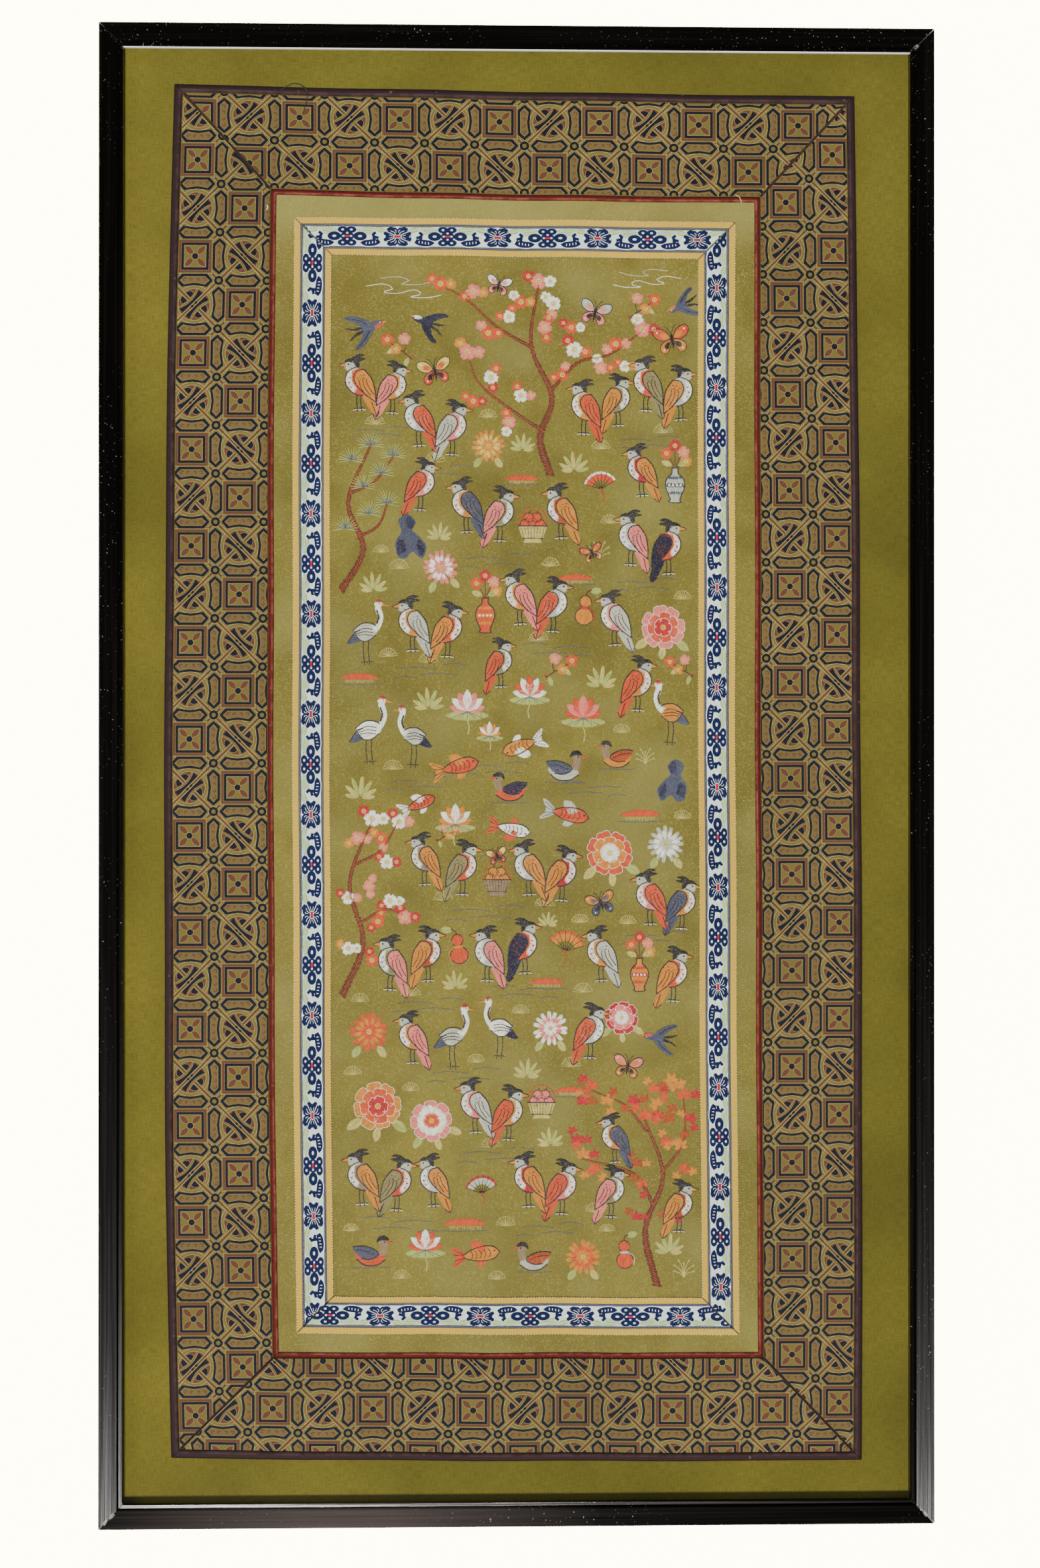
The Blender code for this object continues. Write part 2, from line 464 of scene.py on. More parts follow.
def mix(share, first, second, kind="MIX"):
    """Two colours mixed by a share, each a value or a plain colour."""
    node = share.tree.nodes.new("ShaderNodeMix")
    node.data_type = "RGBA"
    node.blend_type = kind
    for number, value in ((MIX_SHARE, share), (MIX_FIRST, first), (MIX_SECOND, second)):
        feed(share.tree, node.inputs[number], value)
    return Value(share.tree, node.outputs[MIX_RESULT])


# ---------------------------------------------------------------- effects that several materials share

def effect_group(name, inputs, outputs, build):
    """A node group with these named inputs, whose outputs are what build makes of them."""
    tree = bpy.data.node_groups.new(name, "ShaderNodeTree")
    for label, start in inputs.items():
        kind = "NodeSocketVector" if start is None else "NodeSocketFloat"
        socket = tree.interface.new_socket(label, in_out="INPUT", socket_type=kind)
        if start is not None:
            socket.default_value = start
    for label in outputs:
        tree.interface.new_socket(label, in_out="OUTPUT", socket_type="NodeSocketFloat")
    given = tree.nodes.new("NodeGroupInput")
    made = tree.nodes.new("NodeGroupOutput")
    results = build(*(Value(tree, given.outputs[label]) for label in inputs))
    for label, value in zip(outputs, results):
        feed(tree, made.inputs[label], value)
    return tree


def plain_weave(thread, across, along):
    """Threads over and under at two pitches: their height, and each thread's own shade."""
    place = thread.parts()
    rows, columns = place[0] / along, place[1] / across
    row_wave, column_wave = (rows * math.pi).sine(), (columns * math.pi).sine()
    height = abs(row_wave * column_wave) * 0.4 + abs(row_wave) ** 0.5 * 0.6
    return height, thread_shade(rows, columns)


def thread_shade(rows, columns):
    """A shade for each thread, drawn out along it, from two stretched noises."""
    shades = []
    for first, second in ((rows, columns), (columns, rows)):
        node = rows.tree.nodes.new("ShaderNodeCombineXYZ")
        feed(rows.tree, node.inputs[0], first.floor())
        feed(rows.tree, node.inputs[1], second * 0.11)
        shades.append(Value(rows.tree, node.outputs[0]).noise(1.0, 1.0))
    return (shades[0] + shades[1]) * 0.5


def tape_ribs(along, pitch):
    """Ribs across a tape: their height and the two yarns that take turns."""
    up = (along / pitch * math.tau).sine() * 0.5 + 0.5
    return up ** 0.6, up


def twill_floats(thread, pitch, slant):
    """Short slanting floats of a figured silk: their height and how deep the gaps are."""
    place = thread.parts()
    row, column = place[0] / pitch, place[1] / pitch
    leaning = row + column * slant
    floats = abs((leaning * math.pi).sine())
    broken = column * 0.45 + leaning.floor() * 0.37
    height = floats * abs((broken * math.pi).sine()) ** 0.35
    return height, 1.0 - height


def ageing(place):
    """Slow cloudy changes of tone and small specks, for cloth that has been kept for years."""
    return place.noise(9.0, 3.0), place.noise(980.0, 1.0), place.noise(310.0, 0.0).spread(0.79, 0.84)


def worn_lacquer(place, across_grain, half_width, half_height, height):
    """Fine lengthwise grain under lacquer, a rubbed front arris, chipped mitres and dust. Metres."""
    x, y, z = place.parts()
    from_side, from_end = half_width - abs(x), half_height - abs(y)
    inward = from_side.step("MINIMUM", from_end)
    from_corner = from_side.step("MAXIMUM", from_end)
    rub = place.noise(210.0, 4.0)
    arris = inward.spread(0.0004, 0.0011, 1.0, 0.0) * (height - z).spread(0.0006, 0.0016, 1.0, 0.0)
    joint = abs(from_side - from_end).spread(0.0006, 0.0020, 1.0, 0.0)
    chip = joint * rub.spread(0.55, 0.60) * from_corner.spread(0.004, 0.016, 1.0, 0.25)
    dust = place.noise(900.0, 0.0).spread(0.80, 0.83) * place.noise(7.0).spread(0.45, 0.62)
    return across_grain.noise(1.0, 3.0), arris * rub.spread(0.6, 0.66), chip, dust


def silk_strand(thread):
    """Loosely twisted silk: its height, where single fibres take a painted gloss, and the gaps between them, which
    take a painted shade.
    """
    fibres = thread.stretched((0.35, 9.0, 1.0)).noise(1.0)
    return fibres, fibres.spread(0.5, 0.72), fibres.spread(0.3, 0.46, 1.0, 0.0)


EFFECTS = {
    name: effect_group(name, inputs, outputs, build) for name, inputs, outputs, build in (
        ("silk strand", {"Thread": None}, ("Height", "Gloss", "Gap"), silk_strand),
        ("plain weave", {"Thread": None, "Across": 0.5, "Along": 0.5}, ("Height", "Shade"), plain_weave),
        ("tape ribs", {"Along": 0.0, "Pitch": 0.9}, ("Height", "Turn"), tape_ribs),
        ("twill floats", {"Thread": None, "Pitch": 0.8, "Slant": 0.5}, ("Height", "Gap"), twill_floats),
        ("ageing", {"Place": None}, ("Cloud", "Fleck", "Speck"), ageing),
        ("worn lacquer", {"Place": None, "Across grain": None, "Half width": 0.3, "Half height": 0.5,
                          "Height": 0.02}, ("Grain", "Rub", "Chip", "Dust"), worn_lacquer),
    )
}


# ---------------------------------------------------------------- materials

# Linear colours of the cloths, the silks, the lacquer and the board.
MAT_OLIVE = (0.136, 0.118, 0.014)
MAT_THREAD = (0.205, 0.171, 0.022)
MAT_DARK = (0.062, 0.050, 0.007)
MAT_GREEN = (0.148, 0.157, 0.026)
# Painted shade over the mat, as a multiplier.
MAT_PAINTED_SHADE = (0.80, 0.81, 0.84)
SATIN_GOLD = (0.196, 0.161, 0.026)
SATIN_SHADE = (0.160, 0.128, 0.020)
SATIN_DARK = (0.092, 0.072, 0.010)
SATIN_LIGHT = (0.350, 0.318, 0.098)
# Painted shade over the satin below its top, as a multiplier.
SATIN_PAINTED_SHADE = (0.87, 0.88, 0.84)
BINDING_SILK = (0.019, 0.008, 0.009)
BINDING_DARK = (0.006, 0.003, 0.004)
BINDING_LIGHT = (0.060, 0.030, 0.031)
PIPING_RED = (0.105, 0.006, 0.005)
PIPING_DARK = (0.050, 0.003, 0.003)
PIPING_LIGHT = (0.300, 0.085, 0.060)
PALE_SPECK = (0.5, 0.46, 0.38)
LACQUER_BLACK = (0.0013, 0.0009, 0.0007)
LACQUER_GRAIN = (0.0048, 0.0036, 0.0028)
LACQUER_RUB = (0.350, 0.320, 0.280)
LACQUER_DUST = (0.4, 0.38, 0.35)
# Painted sheen on the bottom rail.
LACQUER_PAINTED_SHEEN = (0.046, 0.036, 0.033)
# Painted highlight along the top rail's sight edge.
LACQUER_PAINTED_HIGHLIGHT = (0.900, 0.900, 0.880)
HARDBOARD = (0.12, 0.068, 0.035)
HARDBOARD_DARK = (0.085, 0.047, 0.024)
HARDBOARD_LIGHT = (0.15, 0.088, 0.047)
GLASS_TINT = (0.02, 0.025, 0.025)

CLOTH_SPECULAR = 0.18
# How much of a cloth's highlight is uncoloured, and how rough its sheen is.
CLOTH_TINT_GREY = 0.3
CLOTH_SHEEN_ROUGHNESS = 0.4
SATIN_SPECULAR = 0.28
FLOSS_SPECULAR = 0.32
# A floss's darkest stitch tone, also its painted shade in the gaps between fibres, as a share of its colour, and how
# far its painted gloss pales it where it shines.
FLOSS_DARK_TONE_AND_GAP_SHADE = 0.62
FLOSS_PAINTED_GLOSS = 0.22
LACQUER_SPECULAR = 0.2
LACQUER_RUB_SHARE = 0.12
GLASS_VEIL = 0.06

# Places in metres where a finish or a painted shade, sheen or highlight changes, from and to.
MAT_PAINTED_SHADE_X = (-0.262, -0.185)
SATIN_PAINTED_SHADE_Y = (0.24, 0.36)
SATIN_PAINTED_LIGHT_Y = (0.356, 0.378)
PAINTED_SHEEN_X = -0.115
PAINTED_SHEEN_REACH = (0.03, 0.17)
PAINTED_SIGHT_LINE = (0.01545, 0.01565)


def material(name, roughness, colour, sheen=0.0, sheen_tint=(1, 1, 1)):
    """A new material with one Principled shader, and its tree and shader."""
    made = bpy.data.materials.new(name)
    made.use_nodes = True
    made.diffuse_color = (*colour, 1.0)
    tree = made.node_tree
    shader = next(n for n in tree.nodes if n.type == "BSDF_PRINCIPLED")
    shader.inputs["Roughness"].default_value = roughness
    shader.inputs["Base Color"].default_value = (*colour, 1.0)
    if sheen:
        shader.inputs["Specular IOR Level"].default_value = CLOTH_SPECULAR
        tint = (CLOTH_TINT_GREY + (1 - CLOTH_TINT_GREY) * part / max(colour) for part in colour)
        shader.inputs["Specular Tint"].default_value = (*tint, 1.0)
        shader.inputs["Sheen Weight"].default_value = sheen
        shader.inputs["Sheen Roughness"].default_value = CLOTH_SHEEN_ROUGHNESS
        shader.inputs["Sheen Tint"].default_value = (*sheen_tint, 1.0)
    return made, tree, shader


def finish(tree, shader, colour, height, depth):
    """Links a colour, and a height that stands for a bump of this many millimetres."""
    feed(tree, shader.inputs["Base Color"], colour)
    node = tree.nodes.new("ShaderNodeBump")
    node.inputs["Distance"].default_value = depth * MM
    node.inputs["Strength"].default_value = 1.0
    feed(tree, node.inputs["Height"], height)
    tree.links.new(node.outputs[0], shader.inputs["Normal"])


def effect(tree, name, **values):
    """A shared effect placed in a material, with its named inputs set or linked."""
    node = tree.nodes.new("ShaderNodeGroup")
    node.node_tree = EFFECTS[name]
    for label, value in values.items():
        feed(tree, node.inputs[label.replace("_", " ")], value)
    return {socket.name: Value(tree, socket) for socket in node.outputs}


def thread_place(tree):
    """Where a point lies on its cloth, in millimetres along and across the thread."""
    node = tree.nodes.new("ShaderNodeUVMap")
    node.uv_map = "thread"
    return Value(tree, node.outputs[0])


def object_place(tree):
    """Where a point lies in the object, in metres."""
    return Value(tree, tree.nodes.new("ShaderNodeTexCoord").outputs["Object"])


def aged(tree, colour, dark, light, cloud_share, fleck_share, specks=0.0):
    """A cloth colour with cloudy tone changes, thread flecks and, if wanted, pale specks."""
    out = effect(tree, "ageing", Place=object_place(tree))
    colour = mix(out["Cloud"].spread(0.35, 0.68) * cloud_share, colour, dark)
    colour = mix(out["Fleck"].spread(0.5, 0.8) * fleck_share, colour, light)
    if specks:
        colour = mix(out["Speck"] * specks, colour, PALE_SPECK)
    return colour


def mat_cloth_material():
    """Olive plain weave with separate threads and painted shade in the gaps between them, and painted shade over all
    but its left edge, which stays lighter.
    """
    made, tree, shader = material("olive mat cloth", 0.86, MAT_OLIVE, 0.04, (0.9, 0.85, 0.6))
    weave = effect(tree, "plain weave", Thread=thread_place(tree), Across=0.62, Along=0.85)
    colour = mix(weave["Shade"].spread(0.36, 0.64), MAT_OLIVE, MAT_THREAD)
    colour = aged(tree, colour, MAT_DARK, MAT_GREEN, 0.55, 0.5)
    # Painted shade: the colour is darkened where the weave lies low, in the gaps between the threads.
    colour = mix(weave["Height"].spread(0.0, 0.7, 0.55, 1.0), MAT_DARK, colour)
    # Painted shade: the cloth is darkened everywhere but near its left edge, which is left lighter.
    painted_shade_share = object_place(tree).parts()[0].spread(*MAT_PAINTED_SHADE_X)
    finish(tree, shader, mix(painted_shade_share, colour, MAT_PAINTED_SHADE, "MULTIPLY"), weave["Height"], 0.16)
    return made


def satin_material():
    """Gold satin: a smooth floated face with fine pale flecks, painted shade in soft creases, painted sheens, painted
    shade over all but its top, and a painted band of light along the top.
    """
    made, tree, shader = material("gold satin", 0.52, SATIN_GOLD, 0.05, (1.0, 0.92, 0.6))
    shader.inputs["Specular IOR Level"].default_value = SATIN_SPECULAR
    place = object_place(tree)
    weave = effect(tree, "plain weave", Thread=thread_place(tree), Across=0.34, Along=0.42)
    colour = mix(weave["Shade"].spread(0.33, 0.67), SATIN_GOLD, SATIN_SHADE)
    colour = aged(tree, colour, SATIN_DARK, SATIN_LIGHT, 0.7, 0.55, 0.12)
    # Painted shade in soft creases, then painted sheen in pale patches.
    colour = mix(place.noise(34.0).spread(0.46, 0.68) * 0.5, colour, SATIN_DARK)
    colour = mix(place.noise(17.0, 1.0).spread(0.5, 0.72) * 0.3, colour, SATIN_LIGHT)
    # Painted shade darkens the satin everywhere below its top, and a painted band of light pales its top strip.
    up = place.parts()[1]
    colour = mix(up.spread(*SATIN_PAINTED_SHADE_Y, 1.0, 0.0), colour, SATIN_PAINTED_SHADE, "MULTIPLY")
    colour = mix(up.spread(*SATIN_PAINTED_LIGHT_Y, 0.0, 0.3), colour, SATIN_LIGHT)
    finish(tree, shader, colour, weave["Height"], 0.035)
    return made


def silk_tape_material(name, colour, dark, light, roughness, width):
    """Plain silk folded into a tape: fine threads, rubbed tops and pale worn folds along both edges."""
    made, tree, shader = material(name, roughness, colour, 0.04, light)
    place = thread_place(tree)
    weave = effect(tree, "plain weave", Thread=place, Across=0.3, Along=0.34)
    mixed = mix(weave["Shade"].spread(0.35, 0.65), colour, dark)
    mixed = aged(tree, mixed, dark, light, 0.45, 0.22, 0.1)
    fold = abs(place.parts()[1] - width).spread(width / 2 - 0.55, width / 2 - 0.2)
    rubbed = object_place(tree).noise(150.0).spread(0.4, 0.62, 0.15, 0.6)
    finish(tree, shader, mix(fold * rubbed, mixed, light), weave["Height"], 0.03)
    return made


def figured_material(name, colour, gap, pitch, slant, gap_share):
    """One yarn of a figured cloth, as slanting floats with gaps between that take the gap colour, for most yarns a
    painted shade.
    """
    made, tree, shader = material(name, 0.55, colour, 0.04)
    place = object_place(tree)
    floats = effect(tree, "twill floats", Thread=place.stretched((1 / MM,) * 3), Pitch=pitch, Slant=slant)
    # The gaps between floats take the gap colour, a painted shade where it is darker.
    mixed = mix(floats["Gap"].spread(0.35, 0.95) * gap_share, colour, gap)
    out = effect(tree, "ageing", Place=place)
    mixed = mix(out["Cloud"].spread(0.4, 0.7) * 0.3, mixed, gap)
    finish(tree, shader, mixed, floats["Height"], 0.09)
    return made


def ribbed_material(name, colour, second, pitch, depth):
    """A ribbed tape in two yarns that take turns along it."""
    made, tree, shader = material(name, 0.6, colour, 0.04)
    ribs = effect(tree, "tape ribs", Along=thread_place(tree).parts()[0], Pitch=pitch)
    out = effect(tree, "ageing", Place=object_place(tree))
    mixed = mix(ribs["Turn"] * out["Fleck"].spread(0.3, 0.7, 0.45, 1.0), second, colour)
    mixed = mix(out["Cloud"].spread(0.4, 0.65) * 0.35, mixed, second)
    finish(tree, shader, mixed, ribs["Height"], depth)
    return made


def floss_material(name):
    """Stranded silk: fine fibres along each stitch with painted gloss on them and painted shade between them, and no
    two stitches quite the same tone.
    """
    colour = FLOSS[name]
    made, tree, shader = material(f"{name} floss", 0.46, colour, 0.05, colour)
    shader.inputs["Specular IOR Level"].default_value = FLOSS_SPECULAR
    strand = effect(tree, "silk strand", Thread=thread_place(tree))
    dark = tuple(part * FLOSS_DARK_TONE_AND_GAP_SHADE for part in colour)
    light = tuple(part * (1 - FLOSS_PAINTED_GLOSS) + FLOSS_PAINTED_GLOSS * max(colour) for part in colour)
    tone = tree.nodes.new("ShaderNodeAttribute")
    tone.attribute_name = "shade"
    mixed = mix(Value(tree, tone.outputs["Fac"]).spread(0.0, 1.0), dark, colour)
    # Painted gloss on single fibres, then painted shade in the gaps between them.
    mixed = mix(strand["Gloss"] * 0.4, mixed, light)
    mixed = mix(strand["Gap"] * 0.5, mixed, dark)
    out = effect(tree, "ageing", Place=object_place(tree))
    mixed = mix(out["Fleck"].spread(0.5, 0.8) * 0.22, mixed, SATIN_LIGHT)
    finish(tree, shader, mixed, strand["Height"], 0.05)
    return made


def lacquer_material(side):
    """Black lacquered wood with the grain running along the rail, with a painted sheen on the bottom rail and a
    painted highlight along the top rail's sight edge.
    """
    made, tree, shader = material(f"black lacquer {side}", 0.34, LACQUER_BLACK)
    shader.inputs["Specular IOR Level"].default_value = LACQUER_SPECULAR
    place = object_place(tree)
    half_width, half_height, height = SIZES["cad_box"][1]
    across_grain = place.stretched((6.0, 520.0, 520.0) if side in ("top", "bottom") else (520.0, 6.0, 520.0))
    worn = effect(tree, "worn lacquer", Place=place, Across_grain=across_grain, Half_width=half_width,
                  Half_height=half_height, Height=height)
    colour = mix(worn["Grain"].spread(0.5, 0.75) * 0.6, LACQUER_BLACK, LACQUER_GRAIN)
    colour = mix((worn["Rub"] * LACQUER_RUB_SHARE).step("MAXIMUM", worn["Chip"]), colour, LACQUER_RUB)
    colour = mix(worn["Dust"] * (0.8 if side == "bottom" else 0.4), colour, LACQUER_DUST)
    x, y, _ = place.parts()
    # Painted sheen: a paler brown patch on the bottom rail about its middle left, broken by the grain.
    if side == "bottom":
        painted_sheen = abs(x - PAINTED_SHEEN_X).spread(*PAINTED_SHEEN_REACH, 1.0, 0.0)
        colour = mix(painted_sheen * worn["Grain"].spread(0.3, 0.7, 0.75, 1.0), colour, LACQUER_PAINTED_SHEEN)
    # Painted highlight: a near-white line along the top rail's inner lip, at its sight edge.
    if side == "top":
        colour = mix((half_height - abs(y)).spread(*PAINTED_SIGHT_LINE), colour, LACQUER_PAINTED_HIGHLIGHT)
    finish(tree, shader, colour, worn["Grain"], 0.05)
    feed(tree, shader.inputs["Roughness"], worn["Grain"].spread(0.3, 0.8, 0.10, 0.15))
    return made


def glass_material():
    """Thin clear picture glass that only shows as a faint veil."""
    made, _, shader = material("clear glass", 0.04, GLASS_TINT)
    shader.inputs["Alpha"].default_value = GLASS_VEIL
    return made


def hardboard_material():
    """Brown hardboard with a fine felted grain."""
    made, tree, shader = material("hardboard", 0.75, HARDBOARD)
    fibres = object_place(tree).noise(900.0, 4.0)
    colour = mix(fibres.spread(0.3, 0.7), HARDBOARD_DARK, HARDBOARD_LIGHT)
    finish(tree, shader, colour, fibres, 0.08)
    return made


# ---------------------------------------------------------------- the sheets

# Sections: share across from the outer edge, and share of the full height.
FLAT_SECTION = ((0.0, 0.25), (0.006, 0.9), (0.02, 1.0)) + tuple(
    (share, 1.0) for share in np.linspace(0.06, 0.94, 23)) + ((0.98, 1.0), (0.994, 0.9), (1.0, 0.25))
RIBBON_SECTION = ((0.03, 0.0), (0.03, 0.9), (0.05, 1.0)) + tuple(
    (share, 1.0) for share in np.linspace(0.1, 0.9, 9)) + ((0.95, 1.0), (0.97, 0.9), (0.97, 0.0))
ROLLED_SECTION = (
    (0.5, 0.06), (0.2, 0.05), (0.03, 0.12), (0.0, 0.45), (0.07, 0.76), (0.2, 0.92), (0.35, 0.985),
    (0.5, 1.0), (0.65, 0.985), (0.8, 0.92), (0.93, 0.76), (1.0, 0.45), (0.97, 0.12), (0.8, 0.05),
    (0.505, 0.06),
)

# What a strip's edges go down to, in millimetres: above the satin, or below the strip's own underside.
RIBBON_FOOT = 0.05
SEAM_FOOT = 0.25

# A folded tape: its width and the flat width it is cut to, its rise and puckers in millimetres, and the
# step between its cross sections.
Tape = namedtuple("Tape", "slot colours roughness width flat drop pucker length seed step")
TAPES = {
    "binding": Tape("aubergine_silk", (BINDING_SILK, BINDING_DARK, BINDING_LIGHT), 0.58, 5.6, 0.0125,
                    0.14, 0.12, 9.0, SEED, 1.6),
    "piping": Tape("red_silk", (PIPING_RED, PIPING_DARK, PIPING_LIGHT), 0.55, 3.8, 0.0102,
                   0.12, 0.10, 12.0, SEED + 10, 1.4),
}
# A figured strip's slack folds: height and length in millimetres, and the share left at its seams.
BROCADE_FOLD = 0.10
BROCADE_FOLD_LENGTH = 38.0
BROCADE_FOLD_AT_SEAM = 0.35
BROCADE_SEED = SEED + 20
MAT_GRID = (124, 68)
MAT_SLACK = 0.05
SATIN_GRID = (261, 111)


def strip_grid(strip, step, sections):
    """Points of a strip's sheet: a row across it about every step along, by its sections."""
    shares = np.linspace(0, 1, max(8, int(run_of(strip.outer)[-1] / step)) + 1)
    outer, inner = (resample(edge, shares)[:, None, :] for edge in (strip.outer, strip.inner))
    across = np.array([section[0] for section in sections])[None, :, None]
    return outer * (1 - across) + inner * across


def cloth_strip(name, strip, sections, step, top_of, cloth, slot, held, flat=None):
    """A sewn strip of cloth. sections are (share across, share of the height) from its outer edge."""
    plan = strip_grid(strip, step, sections)
    rows, columns = plan.shape[:2]
    points = np.zeros((rows * columns, 3))
    points[:, :2] = plan.reshape(-1, 2)
    rise = np.tile([section[1] for section in sections], rows)
    flat_points = flat_of(strip, points[:, :2])
    along, across = flat_points[:, 1 - strip.across], np.abs(flat_points[:, strip.across])
    foot = foot_of(strip, points)
    points[:, 2] = foot + rise * (top_of(points, along, across) - foot)
    mesh = cloth_mesh(name, points, grid_quads(rows, columns), along, np.tile(run_of(plan[0]), rows))
    piece = show(name, mesh, [cloth], slot)
    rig.replaces(piece, strip.node)
    width, length, cut = sheet_size(strip)
    if flat is not None:
        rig.sheet(piece, flat=(flat, length), held=held, rests_on=["mat_cloth"])
    else:
        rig.sheet(piece, flat=(width, length), area=cut, held=held, rests_on=["mat_cloth"])


def foot_of(strip, points):
    """Height of what a strip's edges go down to."""
    if strip.node.startswith("ribbon"):
        return satin_top(points[:, 0], points[:, 1]) + RIBBON_FOOT
    return np.full(len(points), strip.base - SEAM_FOOT)


def add_tape(kind):
    """A silk tape folded round its edges, with small puckers where it was sewn."""
    tape = TAPES[kind]
    silk = silk_tape_material(tape.slot.replace("_", " "), *tape.colours, tape.roughness, tape.width)
    for number, side in enumerate(SIDES):
        strip = STRIPS[f"{kind}_{side}"]

        def top_of(points, along, across, strip=strip, number=number):
            rise = tape.pucker * puckers(along, across, tape.seed + number, tape.length)
            return strip.top - tape.drop + rise

        cloth_strip(f"{kind}_tape_{side}", strip, ROLLED_SECTION, tape.step, top_of, silk, tape.slot,
                    "folded", flat=tape.flat)


def brocade_top(strip, number):
    """The height of a figured strip: slack cross folds that fade towards its seams."""
    way = 1 - strip.across
    inner = np.interp(strip.outer[:, way], strip.inner[:, way], strip.inner[:, strip.across])
    width = abs(np.median(strip.outer[:, strip.across] - inner))

    def top_of(points, along, across):
        arch = np.sin(np.clip(across / width, 0, 1) * math.pi)
        fade = BROCADE_FOLD_AT_SEAM + (1 - BROCADE_FOLD_AT_SEAM) * arch
        folds = puckers(along, across, BROCADE_SEED + number, BROCADE_FOLD_LENGTH)
        return strip.top + BROCADE_FOLD * fade * folds
    return top_of


def add_brocade():
    """The figured silk strips: the ground cloth, and the figure laid on it yarn by yarn."""
    materials = brocade_materials()
    for number, side in enumerate(SIDES):
        strip = STRIPS["brocade_" + side]
        top_of = brocade_top(strip, number)
        cloth_strip(f"brocade_{side}_ground", strip, FLAT_SECTION, 2.4, top_of, materials["ground"],
                    "brocade", "laid")
        lay_shapes(f"brocade_{side}_figure", strip, brocade_shapes(strip), BROCADE_YARNS, materials, top_of,
                   "brocade", margin=0.3)


def add_mat_cloth():
    """The olive cloth stretched over the board behind the panel."""
    low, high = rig.box("mat_cloth")
    low, high = np.array(low) / MM, np.array(high) / MM
    rows, columns = MAT_GRID
    grid_x, grid_y = np.meshgrid(np.linspace(low[0], high[0], columns), np.linspace(low[1], high[1], rows))
    slack = MAT_SLACK * np.sin(grid_x / 21 + np.sin(grid_y / 57)) * np.sin(grid_y / 39 + 0.7)
    points = np.stack([grid_x, grid_y, high[2] + slack], axis=-1).reshape(-1, 3)
    mesh = cloth_mesh("mat_weave", points, grid_quads(rows, columns), points[:, 0], points[:, 1])
    piece = show("mat_weave", mesh, [mat_cloth_material()], "mat_cloth")
    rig.replaces(piece, "mat_cloth")
    size = (high - low) * MM
    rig.sheet(piece, flat=(size[0], size[1]), held="stretched", rests_on=["backing_board"])


def add_satin():
    """The gold satin ground, from piping to piping, and what its sheet says."""
    loop = underside_loop("satin_ground")
    sides = sides_of(loop)
    upright = [side[np.argsort(side[:, 1])] for side in sides if np.ptp(side[:, 1]) > np.ptp(side[:, 0])]
    level = [side[np.argsort(side[:, 0])] for side in sides if np.ptp(side[:, 1]) <= np.ptp(side[:, 0])]
    left, right = sorted(upright, key=lambda side: side[:, 0].mean())
    bottom, top = sorted(level, key=lambda side: side[:, 1].mean())
    rows, columns = SATIN_GRID
    v = np.linspace(0, 1, rows)[:, None, None]
    u = np.linspace(0, 1, columns)[None, :, None]
    west, east = (resample(side, v.ravel())[:, None] for side in (left, right))
    south, north = (resample(side, u.ravel())[None] for side in (bottom, top))
    plan = ((1 - u) * west + u * east + (1 - v) * south + v * north
            - (1 - v) * ((1 - u) * bottom[0] + u * bottom[-1]) - v * ((1 - u) * top[0] + u * top[-1]))
    x, y = plan.reshape(-1, 2).T
    points = np.column_stack([x, y, satin_top(x, y)])
    mesh = cloth_mesh("satin_cloth", points, grid_quads(rows, columns), x, y)
    piece = show("satin_cloth", mesh, [satin_material()], "satin")
    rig.replaces(piece, "satin_ground")
    size = np.ptp(loop, axis=0) * MM
    area = abs(ring_area(loop)) * MM * MM
    return piece, dict(flat=(size[0], size[1]), area=area, held="laid", rests_on=["mat_cloth"])


# ---------------------------------------------------------------- shapes laid on a strip

Shape = namedtuple("Shape", "points yarn level")

# Millimetres between the levels of a figure, and the smallest shape kept, in square millimetres.
INLAY_STEP = 0.03
SMALLEST_SHAPE = 0.004
# A line's joint reaches out by at most one over this, in half widths.
SHARPEST_JOINT = 0.5


def oval(x, y, half_x, half_y, sides=16):
    angles = np.linspace(0, math.tau, sides, endpoint=False)
    return np.stack([x + half_x * np.cos(angles), y + half_y * np.sin(angles)], axis=1)


def disc(radius, sides=20):
    return oval(0, 0, radius, radius, sides)


def block(x, y, half_x, half_y, angle=0.0):
    corners = np.array([(-half_x, -half_y), (half_x, -half_y), (half_x, half_y), (-half_x, half_y)])
    return turned_by(corners, angle) + (x, y)


def turned_by(points, angle):
    """Points turned by an angle in degrees."""
    c, s = math.cos(math.radians(angle)), math.sin(math.radians(angle))
    return np.asarray(points, float) @ np.array([[c, s], [-s, c]])


def polar(angle, reach):
    """The point at this angle in degrees and this distance from the middle."""
    return turned_by([(reach, 0.0)], angle)[0]


def arc(first, last, count, radius):
    """Points on a circle between two angles in degrees."""
    angles = np.radians(np.linspace(first, last, count))
    return np.stack([radius * np.cos(angles), radius * np.sin(angles)], axis=1)


def lens(x, y, half_length, half_width, angle=0.0, steps=6):
    """A pointed leaf shape."""
    t = np.linspace(-1, 1, steps + 1)
    upper = np.stack([t * half_length, half_width * (1 - t ** 2)], axis=1)
    lower = np.stack([-t[1:-1] * half_length, -half_width * (1 - t[1:-1] ** 2)], axis=1)
    return turned_by(np.vstack([upper, lower]), angle) + (x, y)


def unit_steps(steps):
    """The directions of these steps."""
    return steps / np.linalg.norm(steps, axis=1)[:, None]


def left_of(way):
    """Directions turned a quarter to the left."""
    return np.stack([-way[:, 1], way[:, 0]], axis=1)


